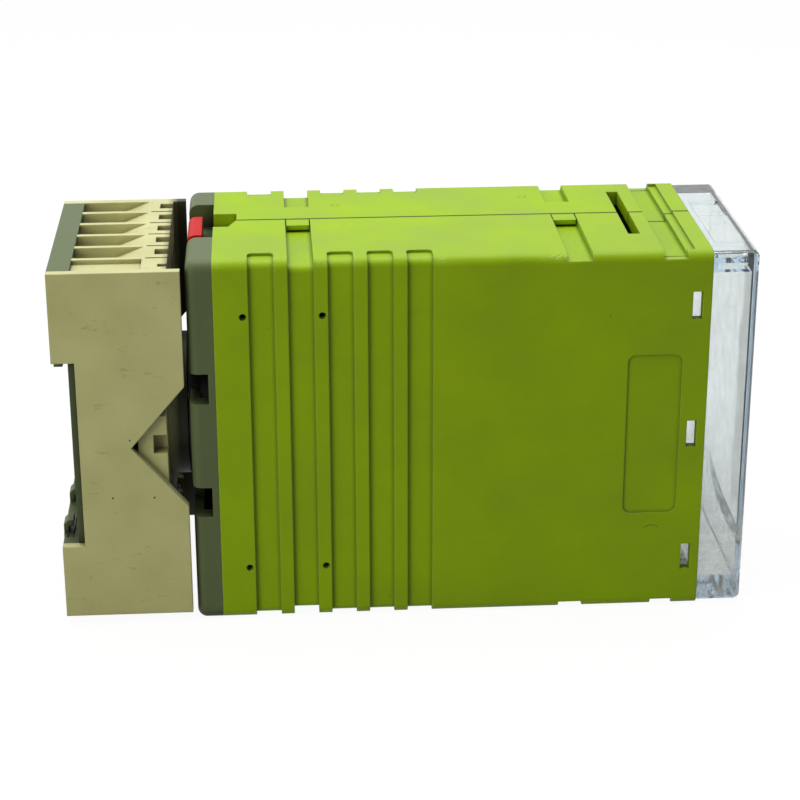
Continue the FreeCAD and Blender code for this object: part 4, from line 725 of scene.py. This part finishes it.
# %% Crack in the cover
CRACK_OUTSIDE = np.array(((116.4, -22.0, -2.6), (116.6, -22.0, -11.0), (123.2, -22.0, -22.2))) * MM
CRACK_INSIDE = np.array(((117.1, -18.7, -3.7), (118.5, -18.7, -9.9), (123.2, -18.7, -19.2))) * MM
CRACK_ROWS, CRACK_COLUMNS = 40, 9


def bent_line(handles, share):
    """Quadratic curve: the first handle fades out as (1 - t)^2, the second is 2t(1 - t), the third t^2."""
    share = share[:, None]
    return handles[0] * (1 - share) ** 2 + handles[1] * 2 * share * (1 - share) + handles[2] * share ** 2


def crack_sheet():
    """Each row of points runs straight from the outer curve to the inner one."""
    along = np.linspace(0, 1, CRACK_ROWS)
    through = np.linspace(0, 1, CRACK_COLUMNS)[None, :, None]
    outer, inner = bent_line(CRACK_OUTSIDE, along)[:, None], bent_line(CRACK_INSIDE, along)[:, None]
    return (outer + (inner - outer) * through).reshape(-1, 3)


crack_faces = grid_faces(CRACK_ROWS, CRACK_COLUMNS).tolist()
new_piece("cover_crack", crack_sheet(), crack_faces, silvery, "clear_plastic", "cover")
print("crack sheet of", CRACK_ROWS, "by", CRACK_COLUMNS, "points")

# %% [markdown]
# ## Spring of the rail clip
# A small wire spring sits in the rail clip's window and pushes the clip up against the rail. The CAD solid
# of it is rigid, but a real spring gets shorter as the clip is pulled down. A round wire is therefore bent
# to and fro in numpy and stands for that solid.

# %% Spring of the rail clip
SPRING_X = -2.1 * MM
SPRING_HALF_WIDTH = 1.6 * MM
SPRING_LOW, SPRING_HIGH = -25.3 * MM, -19.3 * MM
SPRING_BENDS = 6
SPRING_SWEEP = math.radians(105)
WIRE_RADIUS = 0.24 * MM
WIRE_STEPS, WIRE_SIDES = 241, 12


def bent_wire():
    """The wire's direction swings from side to side as a cosine, and a circle follows its running sum."""
    swing = SPRING_SWEEP * np.cos(np.linspace(0, SPRING_BENDS * math.pi, WIRE_STEPS))
    path = np.cumsum(np.stack([np.sin(swing), np.cos(swing)], axis=1), axis=0)
    low = np.array((WIRE_RADIUS - SPRING_HALF_WIDTH, SPRING_LOW + WIRE_RADIUS))
    high = np.array((SPRING_HALF_WIDTH - WIRE_RADIUS, SPRING_HIGH - WIRE_RADIUS))
    path = low + (path - path.min(axis=0)) / np.ptp(path, axis=0) * (high - low)
    along = np.gradient(path, axis=0)
    along /= np.linalg.norm(along, axis=1, keepdims=True)
    angle = np.linspace(0, 2 * math.pi, WIRE_SIDES, endpoint=False)
    x = np.broadcast_to(SPRING_X + WIRE_RADIUS * np.cos(angle), (WIRE_STEPS, WIRE_SIDES))
    y = path[:, :1] + along[:, 1:] * WIRE_RADIUS * np.sin(angle)
    z = path[:, 1:] - along[:, :1] * WIRE_RADIUS * np.sin(angle)
    return np.stack([x, y, z], axis=-1).reshape(-1, 3)


def wire_faces():
    """Four-cornered faces from ring to ring, each ring closed on itself, and a flat face at each end."""
    ring = np.arange(WIRE_SIDES)
    start = np.arange(WIRE_STEPS - 1)[:, None] * WIRE_SIDES
    here, beside = (start + ring).ravel(), (start + np.roll(ring, -1)).ravel()
    sides = np.stack([here, beside, beside + WIRE_SIDES, here + WIRE_SIDES], axis=1)
    return [*sides.tolist(), ring[::-1].tolist(), (ring + (WIRE_STEPS - 1) * WIRE_SIDES).tolist()]


spring = new_piece("clip_spring_wire", bent_wire(), wire_faces(), spring_steel, "spring_steel", "socket")
spring.data.shade_smooth()
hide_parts("clip_spring")
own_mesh(spring)
print("spring of", SPRING_BENDS, "bends,", round((SPRING_HIGH - SPRING_LOW) / MM, 2), "mm long at rest")
